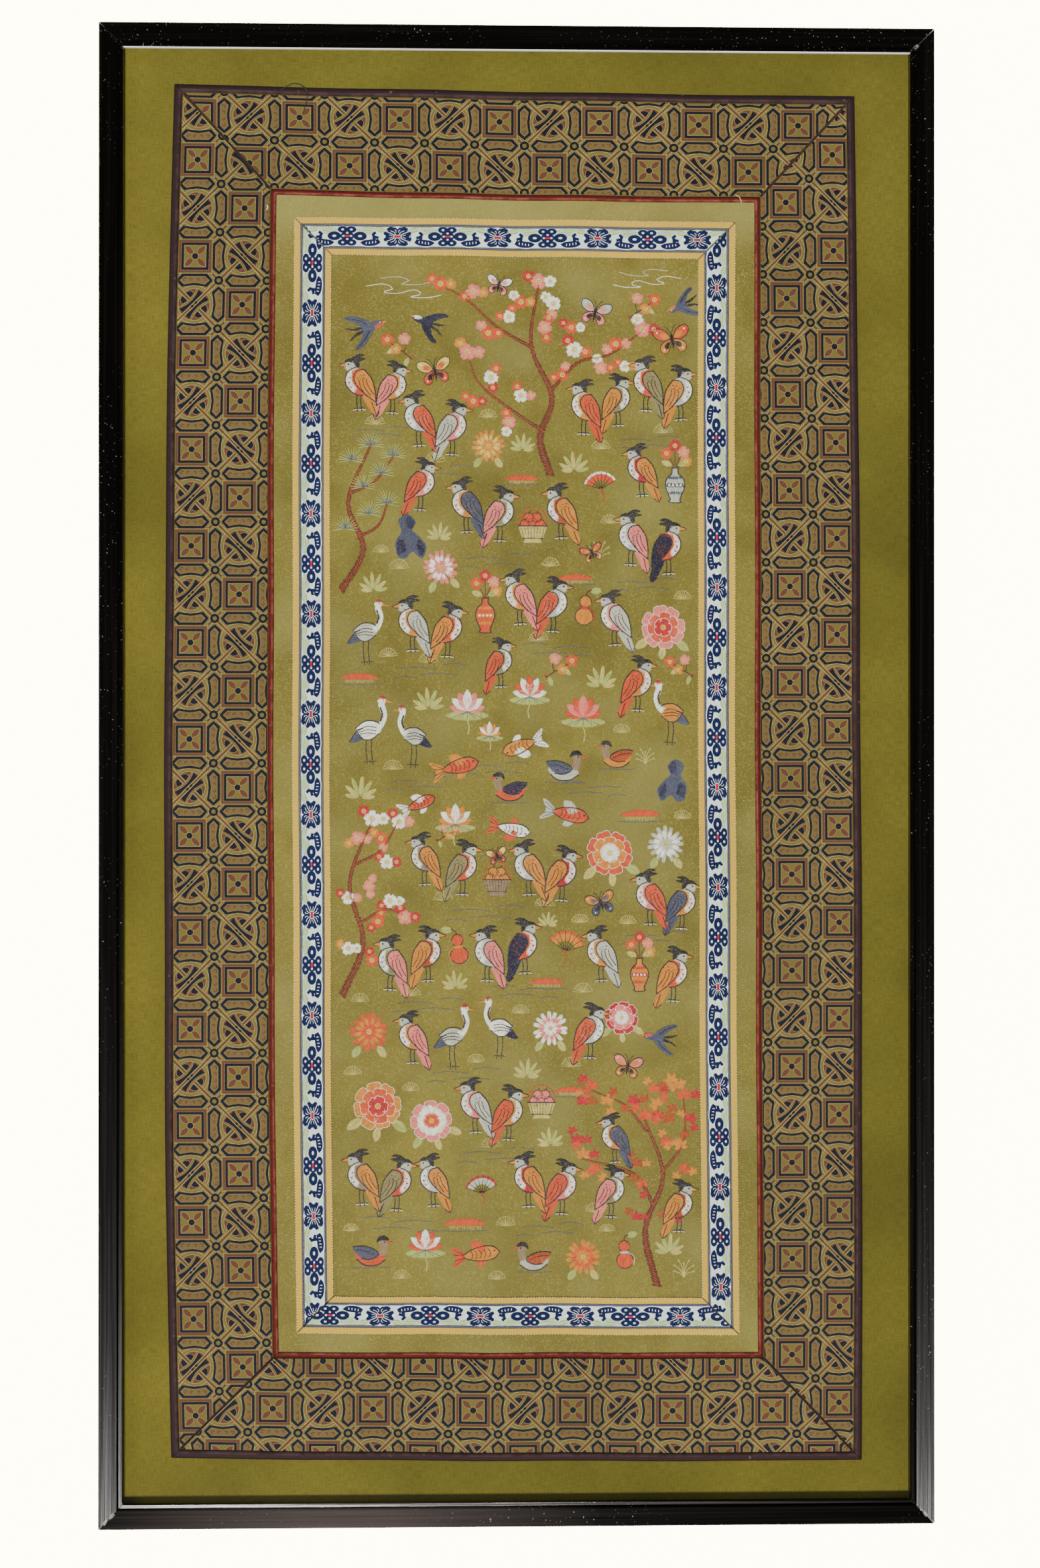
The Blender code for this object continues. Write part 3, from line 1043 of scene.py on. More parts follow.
def bands(path, width):
    """A line of this width as four-cornered pieces with shared, mitred joints."""
    path = np.asarray(path, float)
    steps = unit_steps(np.diff(path, axis=0))
    after = np.vstack([steps, steps[-1:]])
    way = unit_steps(np.vstack([steps[:1], steps]) + after)
    reach = width / 2 / np.clip((way * after).sum(axis=1), SHARPEST_JOINT, 1)
    side = left_of(way) * reach[:, None]
    left, right = path + side, path - side
    return [np.array([left[k], left[k + 1], right[k + 1], right[k]]) for k in range(len(path) - 1)]


def stroke(path, width, yarn, level):
    """A line of this width as shapes of one yarn."""
    return [Shape(piece, yarn, level) for piece in bands(path, width)]


def between(xs, upper, lower, yarn, level):
    """Four-cornered shapes between two lines with the same x stations."""
    shapes = []
    for k in range(len(xs) - 1):
        corners = [(xs[k], lower[k]), (xs[k + 1], lower[k + 1]), (xs[k + 1], upper[k + 1]), (xs[k], upper[k])]
        own = [c for n, c in enumerate(corners) if c not in corners[:n]]
        shapes.append(Shape(np.array(own, float), yarn, level))
    return shapes


def moved(shapes, shift=(0, 0), scale=(1, 1), quarter=False):
    """A chart turned a quarter where wanted, scaled and moved."""
    return [Shape((points[:, ::-1] if quarter else points) * scale + shift, yarn, level)
            for points, yarn, level in shapes]


def cut_by(points, origin, inward):
    """A shape's part on the inward side of a straight line."""
    depth = (points - origin) @ inward
    if (depth >= 0).all():
        return points
    if (depth <= 0).all():
        return None
    kept = []
    for k in range(len(points)):
        a, b = points[k - 1], points[k]
        da, db = depth[k - 1], depth[k]
        if (da >= 0) != (db >= 0):
            kept.append(a + (b - a) * da / (da - db))
        if db >= 0:
            kept.append(b)
    return np.array(kept) if len(kept) > 2 else None


class Cutter:
    """Cuts shapes to a strip, in its flat place, with a small margin at each seam."""

    MITRE_MARGIN = 0.04
    REACH = 4

    def __init__(self, strip, margin):
        self.across = strip.across
        self.sign = strip.inward
        self.inner = flat_of(strip, strip.inner)
        self.margin = margin
        self.mitres = []
        outer = flat_of(strip, strip.outer)
        for end, other in ((0, -1), (-1, 0)):
            normal = left_of(unit_steps((self.inner[end] - outer[end])[None]))[0]
            if (outer[other] - outer[end]) @ normal < 0:
                normal = -normal
            self.mitres.append((outer[end] + normal * self.MITRE_MARGIN, normal))

    def edges(self, along):
        """The four lines that a shape near this place along the strip is cut by."""
        inward = np.zeros(2)
        inward[self.across] = self.sign
        yield inward * self.margin, inward
        stations = self.inner[:, 1 - self.across]
        place = np.clip(along, *stations[[0, -1]])
        start, end = np.zeros(2), np.zeros(2)
        for point, shift in ((start, -self.REACH), (end, self.REACH)):
            point[1 - self.across] = np.clip(place + shift, *stations[[0, -1]])
            point[self.across] = np.interp(point[1 - self.across], stations, self.inner[:, self.across])
        normal = left_of(unit_steps((end - start)[None]))[0]
        if normal[self.across] * self.sign > 0:
            normal = -normal
        yield start + normal * self.margin, normal
        yield from self.mitres

    def cut(self, points):
        for origin, inward in self.edges(points[:, 1 - self.across].mean()):
            points = cut_by(points, origin, inward)
            if points is None:
                return None
        return points


def sliced(points, axis, step):
    """A shape cut across the strip at even stations, so that its pieces follow the cloth's folds."""
    low, high = points[:, axis].min(), points[:, axis].max()
    origin, way = np.zeros(2), np.zeros(2)
    way[axis] = 1
    for number in range(math.floor(low / step) + 1, math.ceil(high / step)):
        origin[axis] = number * step
        piece = cut_by(points, origin, -way)
        if piece is not None:
            yield piece
        points = cut_by(points, origin, way)
        if points is None:
            return
    yield points


def lay_shapes(name, strip, shapes, yarns, materials, top_of, slot, margin, lift=0.05, slice_step=8.0):
    """Makes one piece from flat shapes cut to a strip, each at its level above the cloth."""
    cutter = Cutter(strip, margin)
    rings, levels, yarn_of = [], [], []
    for shape in shapes:
        whole = cutter.cut(shape.points)
        if whole is None:
            continue
        for ring in sliced(whole, 1 - strip.across, slice_step):
            area = ring_area(ring)
            if abs(area) < SMALLEST_SHAPE:
                continue
            rings.append(ring if area > 0 else ring[::-1])
            levels.append(shape.level)
            yarn_of.append(yarns.index(shape.yarn))
    counts = np.array([len(ring) for ring in rings])
    flat = np.vstack(rings)
    along, across = flat[:, 1 - strip.across], np.abs(flat[:, strip.across])
    points = np.column_stack([place_at(strip, flat), np.zeros(len(flat))])
    points[:, 2] = top_of(points, along, across) + lift + INLAY_STEP * np.repeat(levels, counts)
    mesh = new_mesh(name, points, np.arange(len(points)), counts)
    thread_map(mesh, along, across)
    mesh.polygons.foreach_set("material_index", np.array(yarn_of, np.int32))
    show(name, mesh, [materials[yarn] for yarn in yarns], slot, smooth=False)


# ---------------------------------------------------------------- the figured silk's chart

CELL = 32.1
DIAGONALS = (45, 135, 225, 315)
QUARTERS = ((1, 1), (-1, 1), (1, -1), (-1, -1))
# Where the slanting bands start, from a cell's centre, and where they end, from a ring's centre.
SQUARE_JOIN = 16.6
ROUND_JOIN = 12.8
RING_JOIN = 2.9
CARTOUCHE_HALF = 11.8
BOW_HALF = 8.9
STRAP_HALF = 16.0

# pitches along and across, a ring's place along and its depth from the outer seam in millimetres, whether
# the square comes first, and whether the straps of the first round cell rise.
Repeat = namedtuple("Repeat", "along across ring_along ring_depth square_first rising_first")
REPEATS = {
    "left": Repeat(32.4, 32.3, 429.5, -4.8, True, True),
    "right": Repeat(32.4, 32.0, 111.7, -5.9, True, False),
    "top": Repeat(33.6, 31.6, -163.6, -0.9, True, True),
    "bottom": Repeat(33.6, 32.3, -181.2, -19.8, False, False),
}
BROCADE_YARNS = ["cream", "navy", "red", "gold", "fill", "scroll", "green"]


def ring_chart():
    """The small ring where four cells meet."""
    return [Shape(disc(3.35), "cream", 3), Shape(disc(3.15), "navy", 4), Shape(disc(1.45, 14), "gold", 5)]


def cartouche_chart(straight_above):
    """The long cartouche on a cell's edge: straight on the square's side, waisted on the round's."""
    xs = (-11.8, -8.2, -4.1, 0.0, 4.1, 8.2, 11.8)
    shapes = []
    for inset, yarn, level in ((-0.5, "cream", 1), (-0.35, "navy", 2), (1.4, "cream", 3), (1.5, "fill", 4)):
        stations = [x * (CARTOUCHE_HALF - 1.35 * inset) / CARTOUCHE_HALF for x in xs]
        straight = [0.0] + [4.1 - inset] * 5 + [0.0]
        waist = [0.0, inset - 4.1, inset - 3.4, inset - 2.95, inset - 3.4, inset - 4.1, 0.0]
        upper, lower = (straight, waist) if straight_above else ([-w for w in waist], [-s for s in straight])
        shapes += between(stations, upper, lower, yarn, level)
    turns = np.linspace(0.3, 5.2, 7)
    drop = 0.55 if straight_above else -0.55
    for x, size, flip in ((-6.5, 1.0, 1), (-2.4, 0.8, 1), (2.4, 0.8, -1), (6.5, 1.0, -1)):
        radius = np.linspace(1.45, 0.55, 7) * size
        curl = np.stack([x + flip * radius * np.cos(turns), drop + radius * np.sin(turns)], axis=1)
        shapes += stroke(curl, 0.4, "scroll", 5)
    return shapes


def square_chart():
    """The square cell: nested squares, four petals and a navy dot."""
    rims = ((11.75, "cream", 1), (11.5, "green", 2), (10.7, "red", 4), (9.25, "cream", 5), (9.15, "navy", 6),
            (7.35, "cream", 7), (7.2, "gold", 8))
    shapes = [Shape(block(0, 0, half, half), yarn, level) for half, yarn, level in rims]
    for angle in DIAGONALS:
        x, y = polar(angle, 5.7)
        shapes.append(Shape(lens(x, y, 3.95, 2.0, angle), "cream", 9))
        shapes.append(Shape(lens(x, y, 3.8, 1.85, angle), "red", 10))
    return shapes + [Shape(disc(2.3), "cream", 11), Shape(disc(2.1, 16), "navy", 12)]


def round_chart(rising):
    """The round cell: a gold ring round two crossing straps, bowed navy bands and navy wedges."""
    rims = ((12.8, "cream", 1), (12.5, "green", 2), (10.75, "cream", 3), (10.5, "red", 4))
    shapes = [Shape(disc(radius, 32), yarn, level) for radius, yarn, level in rims]
    xs = np.linspace(-BOW_HALF, BOW_HALF, 9)
    bow = 2.0 * (xs / BOW_HALF) ** 2
    drawn = []
    for near, far, yarn, level in ((1.1 + 0 * bow, 3.15, "cream", 6), (1.2 + 0 * bow, 3.0, "navy", 7),
                                   (3.3 + bow, 3.85, "gold", 6), (4.2 + bow, 4.4, "cream", 6)):
        for sign in (1, -1):
            drawn += between(xs, sign * (far + bow), sign * near, yarn, level)
    wedge = np.array([(1.4, 4.7), (5.2, 5.5), (4.9, 7.5), (3.6, 9.0), (1.4, 9.6)])
    for flip in QUARTERS:
        drawn.append(Shape((wedge * 1.07 - (0.2, 0.45)) * flip, "cream", 6))
        drawn.append(Shape(wedge * flip, "navy", 7))
    for half, yarn, level in ((1.15, "cream", 8), (0.85, "gold", 9), (0.4, "red", 10)):
        drawn.append(Shape(block(0, 0, STRAP_HALF, half), yarn, level))
    drawn += [Shape(block(x, 0, 0.85, 0.75), "navy", 11) for x in (-1.7, 1.7)]
    for sign in (1, -1):
        ends = [(0.0, sign * 4.4), (0.0, sign * STRAP_HALF)]
        for width, yarn, level in ((2.5, "cream", 8), (2.0, "gold", 9), (1.0, "red", 10)):
            drawn += stroke(ends, width, yarn, level)
    shapes += [Shape(turned_by(shape.points, -45), shape.yarn, shape.level) for shape in drawn]
    return moved(shapes, scale=(-1, 1)) if rising else shapes


def corner_bands(start):
    """The four slanting bands that join a cell's figure, this far from its centre, to the rings."""
    shapes = []
    end = CELL / 2 * math.sqrt(2) - RING_JOIN
    for angle in DIAGONALS:
        for width, yarn, level in ((2.8, "cream", 1), (2.2, "gold", 2), (1.1, "red", 3)):
            shapes += stroke([polar(angle, start), polar(angle, end)], width, yarn, level)
    return shapes


def mitre_lines(strip):
    """The dark seam line along each mitred end of a strip."""
    shapes = []
    for end in (0, -1):
        ends = flat_of(strip, [strip.outer[end], strip.inner[end]])
        shapes += stroke(ends, 1.3, "scroll", 14) + stroke(ends, 0.6, "navy", 15)
    return shapes


def brocade_shapes(strip):
    """Every shape of the figure that can touch this strip."""
    repeat = REPEATS[strip.side]
    upright = strip.across == 0
    down = -1 if upright else 1
    scale = np.array((repeat.along / CELL, repeat.across / CELL))
    scale = scale[::-1] if upright else scale
    square_cell = square_chart() + corner_bands(SQUARE_JOIN)
    round_cells = {rising: round_chart(rising) + corner_bands(ROUND_JOIN) for rising in (True, False)}
    cartouches = {straight: cartouche_chart(straight) for straight in (True, False)}
    steps = sorted((ends_along(strip) - repeat.ring_along) / repeat.along * down)
    shapes = []

    def lay(chart, row, depth, quarter=False):
        """Places a chart a number of pitches along and across."""
        along = repeat.ring_along + down * row * repeat.along
        place = on_strip(strip, [(along, repeat.ring_depth + depth * repeat.across)])[0]
        shapes.extend(moved(chart, place, scale, quarter))

    for row in range(math.floor(steps[0]) - 1, math.ceil(steps[1]) + 1):
        for column in range(4):
            even = (row + column) % 2 == 0
            square = even == repeat.square_first
            rising = (column % 2 == 0) == repeat.rising_first
            lay(square_cell if square else round_cells[rising], row + 0.5, column + 0.5)
            lay(ring_chart(), row, column)
            # The cell on the higher side of an edge, by x or by y, decides the cartouche's straight side.
            for place, way, quarter in (((row + 0.5, column), strip.inward, upright),
                                        ((row, column + 0.5), down, not upright)):
                above = even if way > 0 else not even
                lay(cartouches[above == repeat.square_first], *place, quarter)
    return shapes + mitre_lines(strip)


def brocade_materials():
    """The ground and the yarns of the figured silk."""
    tones = {
        # yarn: (colour, colour in the gaps as a painted shade, pitch, slant, how much of the gap colour shows)
        "ground": ((0.138, 0.111, 0.027), (0.058, 0.043, 0.012), 0.8, 0.6, 0.65),
        "cream": ((0.430, 0.345, 0.115), (0.180, 0.140, 0.045), 0.7, 0.2, 0.35),
        "navy": ((0.0026, 0.0026, 0.0050), (0.001, 0.001, 0.002), 0.7, 0.3, 0.5),
        "red": ((0.112, 0.034, 0.022), (0.058, 0.034, 0.013), 0.85, 0.5, 0.75),
        "gold": ((0.145, 0.116, 0.026), (0.066, 0.050, 0.013), 0.8, -0.5, 0.55),
        "fill": ((0.152, 0.100, 0.034), (0.072, 0.043, 0.014), 0.7, 0.4, 0.5),
        "scroll": ((0.060, 0.026, 0.012), (0.030, 0.013, 0.006), 0.6, 0.4, 0.4),
        "green": ((0.150, 0.120, 0.032), (0.062, 0.048, 0.013), 0.8, 0.5, 0.5),
    }
    return {yarn: figured_material(f"brocade {yarn}", *tone) for yarn, tone in tones.items()}


# ---------------------------------------------------------------- the woven ribbon's chart

RIBBON_WIDTH = 25.3
RIBBON_MIDDLE = 12.55
RIBBON_REPEAT = 67.35
RIBBON_SOLID_FLOWER = {"left": 108.6, "right": 127.0, "top": -13.7, "bottom": -25.2}
BAND_EDGES = (0.55, 4.3, 6.15, 19.35, 21.15, 24.75)
PICOT_PITCH = 1.8
CHAIN_PITCH = 1.12
RIBBON_SLICE = 2.5
RIBBON_STEP = 2.2
RIBBON_THICK = 1.22
RIBBON_CURL = 0.16
RIBBON_CURL_LENGTH = 30.0
RIBBON_SEED = SEED + 30
RIBBON_YARNS = ["rib", "chain", "field", "aqua", "white", "navy", "red", "green", "picot", "seam"]


def ring_flower():
    """The flower of six navy rings about a small red bar. u runs along the ribbon and w across it."""
    shapes = []
    petals = [(8.6, 0.0, 4.1, 2.5, 1.7, 0.95), (-8.7, 0.0, 4.1, 2.5, 1.7, 0.95)]
    petals += [(u, w, 3.0, 1.75, 1.25, 0.9) for u in (2.75, -3.05) for w in (-4.35, 4.35)]
    for u, w, half_u, half_w, hole_u, hole_w in petals:
        shapes.append(Shape(oval(u, w, half_u + 0.7, half_w + 0.6), "white", 1))
        shapes.append(Shape(oval(u, w, half_u + 0.5, half_w + 0.5), "navy", 3))
        shapes.append(Shape(oval(u, w, hole_u - 0.3, hole_w - 0.2, 10), "white", 4))
    shapes.append(Shape(oval(0, 0, 4.5, 3.6), "navy", 3))
    for u, w in ((2.6, 0.0), (-2.6, 0.0), (0.0, 2.1), (0.0, -2.1)):
        shapes.append(Shape(oval(u, w, 0.8, 0.62, 10), "white", 4))
    for u, w in QUARTERS:
        shapes += stroke([(u * 1.2, w * 2.03), (u * 2.25, w * 4.06)], 1.5, "navy", 3)
    return shapes + [Shape(block(0, 0, 1.85, 0.62), "red", 6)]


def toothed_flower():
    """The solid flower: toothed navy petals, parted by fine white streaks about a red bar."""
    outline = np.array([(0.0, -5.0), (0.8, -6.1), (3.0, -6.2), (4.9, -6.5), (6.9, -5.6), (7.3, -4.6),
                        (6.3, -3.9), (8.5, -3.6), (9.5, -1.8), (8.0, -0.4), (8.0, 0.0)])
    back = outline[-2:0:-1]
    whole = np.vstack([outline, back * (1, -1), outline * (-1, -1), back * (-1, 1)])
    shapes = [Shape(oval(0, 0, 10.1, 4.4), "white", 1), Shape(oval(0, 0, 8.0, 6.9), "white", 1),
              Shape(whole, "navy", 3), Shape(oval(0, 0, 3.0, 1.15), "white", 4)]
    streaks = (
        ([(1.9, -0.9), (4.8, -2.3), (8.9, -3.9)], 0.42),
        ([(1.0, -1.1), (2.3, -3.0), (4.6, -3.9)], 0.32),
        ([(3.4, -0.5), (5.6, -1.1)], 0.25),
        ([(0.9, -2.6), (0.9, -4.0), (1.9, -4.5)], 0.3),
        ([(-0.1, -5.2), (1.0, -6.5)], 0.6),
    )
    for flip in QUARTERS:
        for path, width in streaks:
            shapes += stroke(np.array(path) * flip, width, "white", 4)
    return shapes + [Shape(block(0, 0, 2.25, 0.85), "red", 6)]


def sprig():
    """The navy sprig on the inner side, and the pale green waves on the outer side."""
    body = [(11.2, 4.1), (12.6, 1.9), (16.5, 1.9), (19.5, 2.3), (22.5, 2.7), (25.2, 4.2), (23.2, 5.9),
            (20.9, 6.6), (18.4, 6.6), (15.5, 6.3), (13.2, 5.5)]
    twigs = [(12.6, 1.0), (15.7, 0.2), (16.4, -1.3), (14.6, -2.9)]
    shapes = [Shape(np.array(body), "navy", 3)] + stroke(body + body[:1], 1.1, "white", 1)
    shapes += stroke(twigs, 2.2, "white", 1) + stroke(twigs, 1.9, "navy", 3)
    shapes += stroke([(15.9, 0.2), (15.4, 3.0)], 2.1, "navy", 3)
    for u, w, lean in ((14.6, 3.7, 8), (16.7, 4.0, 4), (18.8, 4.4, 0), (20.9, 4.6, -6)):
        shapes.append(Shape(block(u, w, 0.26, 0.7, lean), "white", 4))
    for centre, half, width, w, tilt in ((11.2, 5.0, 1.85, -4.5, -14), (19.9, 8.0, 1.5, -5.0, 3),
                                         (20.6, 6.8, 1.35, -2.7, -5)):
        shapes.append(Shape(lens(centre, w, half, width, tilt, 8), "green", 1))
        for offset in (-0.35, 0.35):
            vein = [(-half * 0.7, offset), (0.0, offset * 1.6), (half * 0.7, offset)]
            shapes += stroke(turned_by(vein, tilt) + (centre, w), 0.26, "aqua", 2)
    return shapes


def chain_shapes(lowest, highest, depth):
    """The twisted navy and white line: white slots that lean to and fro on a navy band."""
    shapes = []
    for k in range(int((highest - lowest) / CHAIN_PITCH)):
        for row, lean, shift in ((-0.38, 32, 0.0), (0.38, -32, 0.5)):
            place = lowest + (k + 0.5) * CHAIN_PITCH + shift * CHAIN_PITCH
            slot = turned_by([(-0.32, 0.0), (0.0, -0.13), (0.32, 0.0), (0.0, 0.13)], lean)
            shapes.append(Shape(slot + (place, depth + row), "white", 2))
    return shapes


def ribbon_shapes(strip):
    """Everything woven on this strip, in its flat place."""
    half = sprig()
    solid = toothed_flower() + half + moved(half, scale=(-1, 1))
    rings = ring_flower()
    first = RIBBON_SOLID_FLOWER[strip.side]
    lowest, highest = ends_along(strip)
    drawn = []
    for k in range(math.floor((lowest - first) / RIBBON_REPEAT) - 1,
                   math.ceil((highest - first) / RIBBON_REPEAT) + 1):
        along = first + k * RIBBON_REPEAT
        drawn += moved(solid, (along, RIBBON_MIDDLE))
        drawn += moved(rings, (along + RIBBON_REPEAT / 2, RIBBON_MIDDLE))
    for start, end in (BAND_EDGES[1:3], BAND_EDGES[3:5]):
        drawn += chain_shapes(lowest, highest, (start + end) / 2)
    return [Shape(on_strip(strip, points), yarn, level) for points, yarn, level in drawn]


def band_shapes(strip):
    """The ribbon's lengthwise bands, in short runs so that they follow the seam."""
    lowest, highest = ends_along(strip) / RIBBON_SLICE
    stations = np.arange(math.floor(lowest), math.ceil(highest) + 1) * RIBBON_SLICE
    shapes = []
    edges = [*BAND_EDGES[:2], *np.linspace(BAND_EDGES[2], BAND_EDGES[3], 6), *BAND_EDGES[4:]]
    names = ("rib", "chain", *["field"] * 5, "chain", "rib")
    for name, near, far in zip(names, edges, edges[1:]):
        for a, b in zip(stations, stations[1:]):
            shapes.append(Shape(on_strip(strip, [(a, near), (b, near), (b, far), (a, far)]), name, 0))
    return shapes


def picot_shapes(strip):
    """The small white loops along both edges."""
    lowest, highest = ends_along(strip)
    rng = np.random.default_rng(SEED + len(strip.side))
    shapes = []
    for edge, out in ((BAND_EDGES[0], -1), (BAND_EDGES[-1], 1)):
        for k in range(int((highest - lowest) / PICOT_PITCH)):
            along = lowest + (k + 0.5) * PICOT_PITCH + rng.normal(0, 0.07)
            reach = 0.5 + rng.normal(0, 0.09)
            loop = [(-0.72, -0.35), (-0.42, reach * 0.65), (0.0, reach), (0.42, reach * 0.65), (0.72, -0.35)]
            points = [(along + u, edge + out * w) for u, w in loop]
            shapes.append(Shape(on_strip(strip, points), "picot", 1))
    return shapes


def ribbon_mitres(strip):
    """The thin dark seam across the ribbon's middle at each mitred end."""
    shapes = []
    for end in (0, -1):
        outer, inner = flat_of(strip, [strip.outer[end], strip.inner[end]])
        near, far = (outer + (inner - outer) * edge / RIBBON_WIDTH for edge in (BAND_EDGES[1], BAND_EDGES[4]))
        shapes += stroke([near, far], 0.75, "chain", 8)
        shapes += stroke([outer, near], 0.5, "seam", 8) + stroke([far, inner], 0.5, "seam", 8)
    return shapes


def ribbon_materials():
    """The yarns of the woven ribbon."""
    ribs = {
        # yarn: (name, colour, second colour, pitch, depth)
        "rib": ("cream rib", (0.820, 0.550, 0.070), (0.470, 0.290, 0.034), 0.95, 0.12),
        "field": ("aqua field", (0.760, 0.880, 0.740), (0.600, 0.720, 0.590), 0.5, 0.05),
    }
    floats = {
        # yarn: (name, colour, colour in the gaps, a painted shade for all but the pale green, pitch, slant, how much
        # of the gap colour shows)
        "picot": ("picots", (0.880, 0.680, 0.270), (0.620, 0.460, 0.170), 0.5, 0.0, 0.3),
        "seam": ("seam", (0.180, 0.100, 0.030), (0.080, 0.040, 0.015), 0.5, 0.0, 0.3),
        "chain": ("navy chain", (0.012, 0.014, 0.040), (0.003, 0.003, 0.010), 0.5, 0.8, 0.5),
        "aqua": ("aqua line", (0.800, 0.920, 0.800), (0.640, 0.780, 0.660), 0.5, 0.0, 0.2),
        "white": ("white", (0.900, 0.920, 0.860), (0.600, 0.650, 0.620), 0.5, 0.0, 0.2),
        "navy": ("navy", (0.006, 0.012, 0.060), (0.002, 0.003, 0.012), 0.5, 0.3, 0.5),
        "red": ("red", (0.480, 0.012, 0.030), (0.250, 0.005, 0.015), 0.5, 0.0, 0.3),
        "green": ("pale green", (0.270, 0.380, 0.100), (0.470, 0.590, 0.280), 0.55, 0.4, 0.6),
    }
    made = {yarn: ribbed_material(f"ribbon {name}", *tone) for yarn, (name, *tone) in ribs.items()}
    made.update((yarn, figured_material(f"ribbon {name}", *tone)) for yarn, (name, *tone) in floats.items())
    return made


def add_ribbon():
    """The woven ribbon: its cloth, its bands, picots and figure."""
    materials = ribbon_materials()
    for number, side in enumerate(SIDES):
        strip = STRIPS["ribbon_" + side]

        def top_of(points, along, across, seed=RIBBON_SEED + number):
            curl = RIBBON_CURL * puckers(along, across, seed, RIBBON_CURL_LENGTH)
            return satin_top(points[:, 0], points[:, 1]) + RIBBON_THICK + curl

        cloth_strip(f"ribbon_{side}_cloth", strip, RIBBON_SECTION, RIBBON_STEP, top_of, materials["field"],
                    "woven_ribbon", "laid")
        shapes = band_shapes(strip) + ribbon_shapes(strip) + ribbon_mitres(strip)
        lay_shapes(f"ribbon_{side}_figure", strip, shapes, RIBBON_YARNS, materials, top_of, "woven_ribbon",
                   margin=0.15, lift=0.04, slice_step=RIBBON_SLICE)
        lay_shapes(f"ribbon_{side}_picots", strip, picot_shapes(strip), RIBBON_YARNS, materials, top_of,
                   "woven_ribbon", margin=-0.6, lift=0.0)


# ---------------------------------------------------------------- stitches

# A motif's place in the picture, its size, its turn in degrees, and whether it faces left.
Spot = namedtuple("Spot", "x y size turn flip", defaults=(1.0, 0.0, False))

FLOSS = {
    "coral": (0.640, 0.075, 0.020),
    "golden": (0.640, 0.230, 0.020),
    "pink": (0.800, 0.200, 0.170),
    "red": (0.480, 0.012, 0.024),
    "terracotta": (0.400, 0.062, 0.012),
    "silver": (0.500, 0.510, 0.400),
    "olive": (0.240, 0.210, 0.085),
    "white": (0.900, 0.900, 0.760),
    "beige": (0.270, 0.190, 0.105),
    "straw": (0.560, 0.480, 0.130),
    "lemon": (0.740, 0.560, 0.100),
    "pale green": (0.400, 0.440, 0.110),
    "slate": (0.062, 0.070, 0.115),
    "navy": (0.014, 0.012, 0.034),
    "brown": (0.085, 0.020, 0.012),
    "black": (0.0035, 0.003, 0.0035),
}
WORK = {name: [] for name in FLOSS}
STITCH_PITCH = 0.42
STITCH_WIDTH = 0.52
SHORTEST_STITCH = 0.45
LONGEST_STITCH = 8.0
# Filling stitches run this far into each other and past the outline, and wander across, in millimetres.
# The stitches of a drawn line run into each other by a share of their length.
FILL_OVERLAP = 0.12
FILL_REACH = 0.06
FILL_WANDER = 0.05
LINE_OVERLAP = 0.12
BRICK_SHIFT = 0.25
# A stitch rises by this much in millimetres, and by this much more for each millimetre of its length.
STITCH_RISE = 0.09
RISE_BY_LENGTH = 0.022
LINE_RISE = 0.13
KNOT_RISE = 0.2
LAYER = 0.10
RNG = np.random.default_rng(SEED)


def placed(spot, points):
    """Points of a motif's own chart as points of the picture."""
    points = np.asarray(points, float) * spot.size
    if spot.flip:
        points = points * (-1, 1)
    return turned_by(points, spot.turn) + (spot.x, spot.y)


def stitch(floss, starts, ends, width, level, lift=None):
    """Keeps these stitches for the piece of that floss."""
    starts, ends = np.atleast_2d(starts).astype(float), np.atleast_2d(ends).astype(float)
    count = len(starts)
    length = np.linalg.norm(ends - starts, axis=1)
    rise = STITCH_RISE + RISE_BY_LENGTH * np.clip(length, 0, 9) if lift is None else np.full(count, lift)
    WORK[floss].append(np.column_stack([
        starts, ends, np.broadcast_to(width, count), np.full(count, level * LAYER), rise, RNG.random(count)]))


def curves(fours, steps):
    """Points of smooth curves, each between the middle two of four points."""
    t = np.linspace(0, 1, steps, endpoint=False)[:, None]
    return np.vstack([
        0.5 * (2 * b + (c - a) * t + (2 * a - 5 * b + 4 * c - d) * t ** 2 + (3 * b - a - 3 * c + d) * t ** 3)
        for a, b, c, d in fours])


def smooth_path(points, steps=6):
    """A smooth line through these points."""
    points = np.asarray(points, float)
    padded = np.vstack([2 * points[0] - points[1], points, 2 * points[-1] - points[-2]])
    return np.vstack([curves(zip(padded, padded[1:], padded[2:], padded[3:]), steps), points[-1:]])


def closed_line(points, steps=5):
    """A smooth closed outline through these points."""
    points = np.asarray(points, float)
    return curves(zip(*(np.roll(points, shift, 0) for shift in (1, 0, -1, -2))), steps)


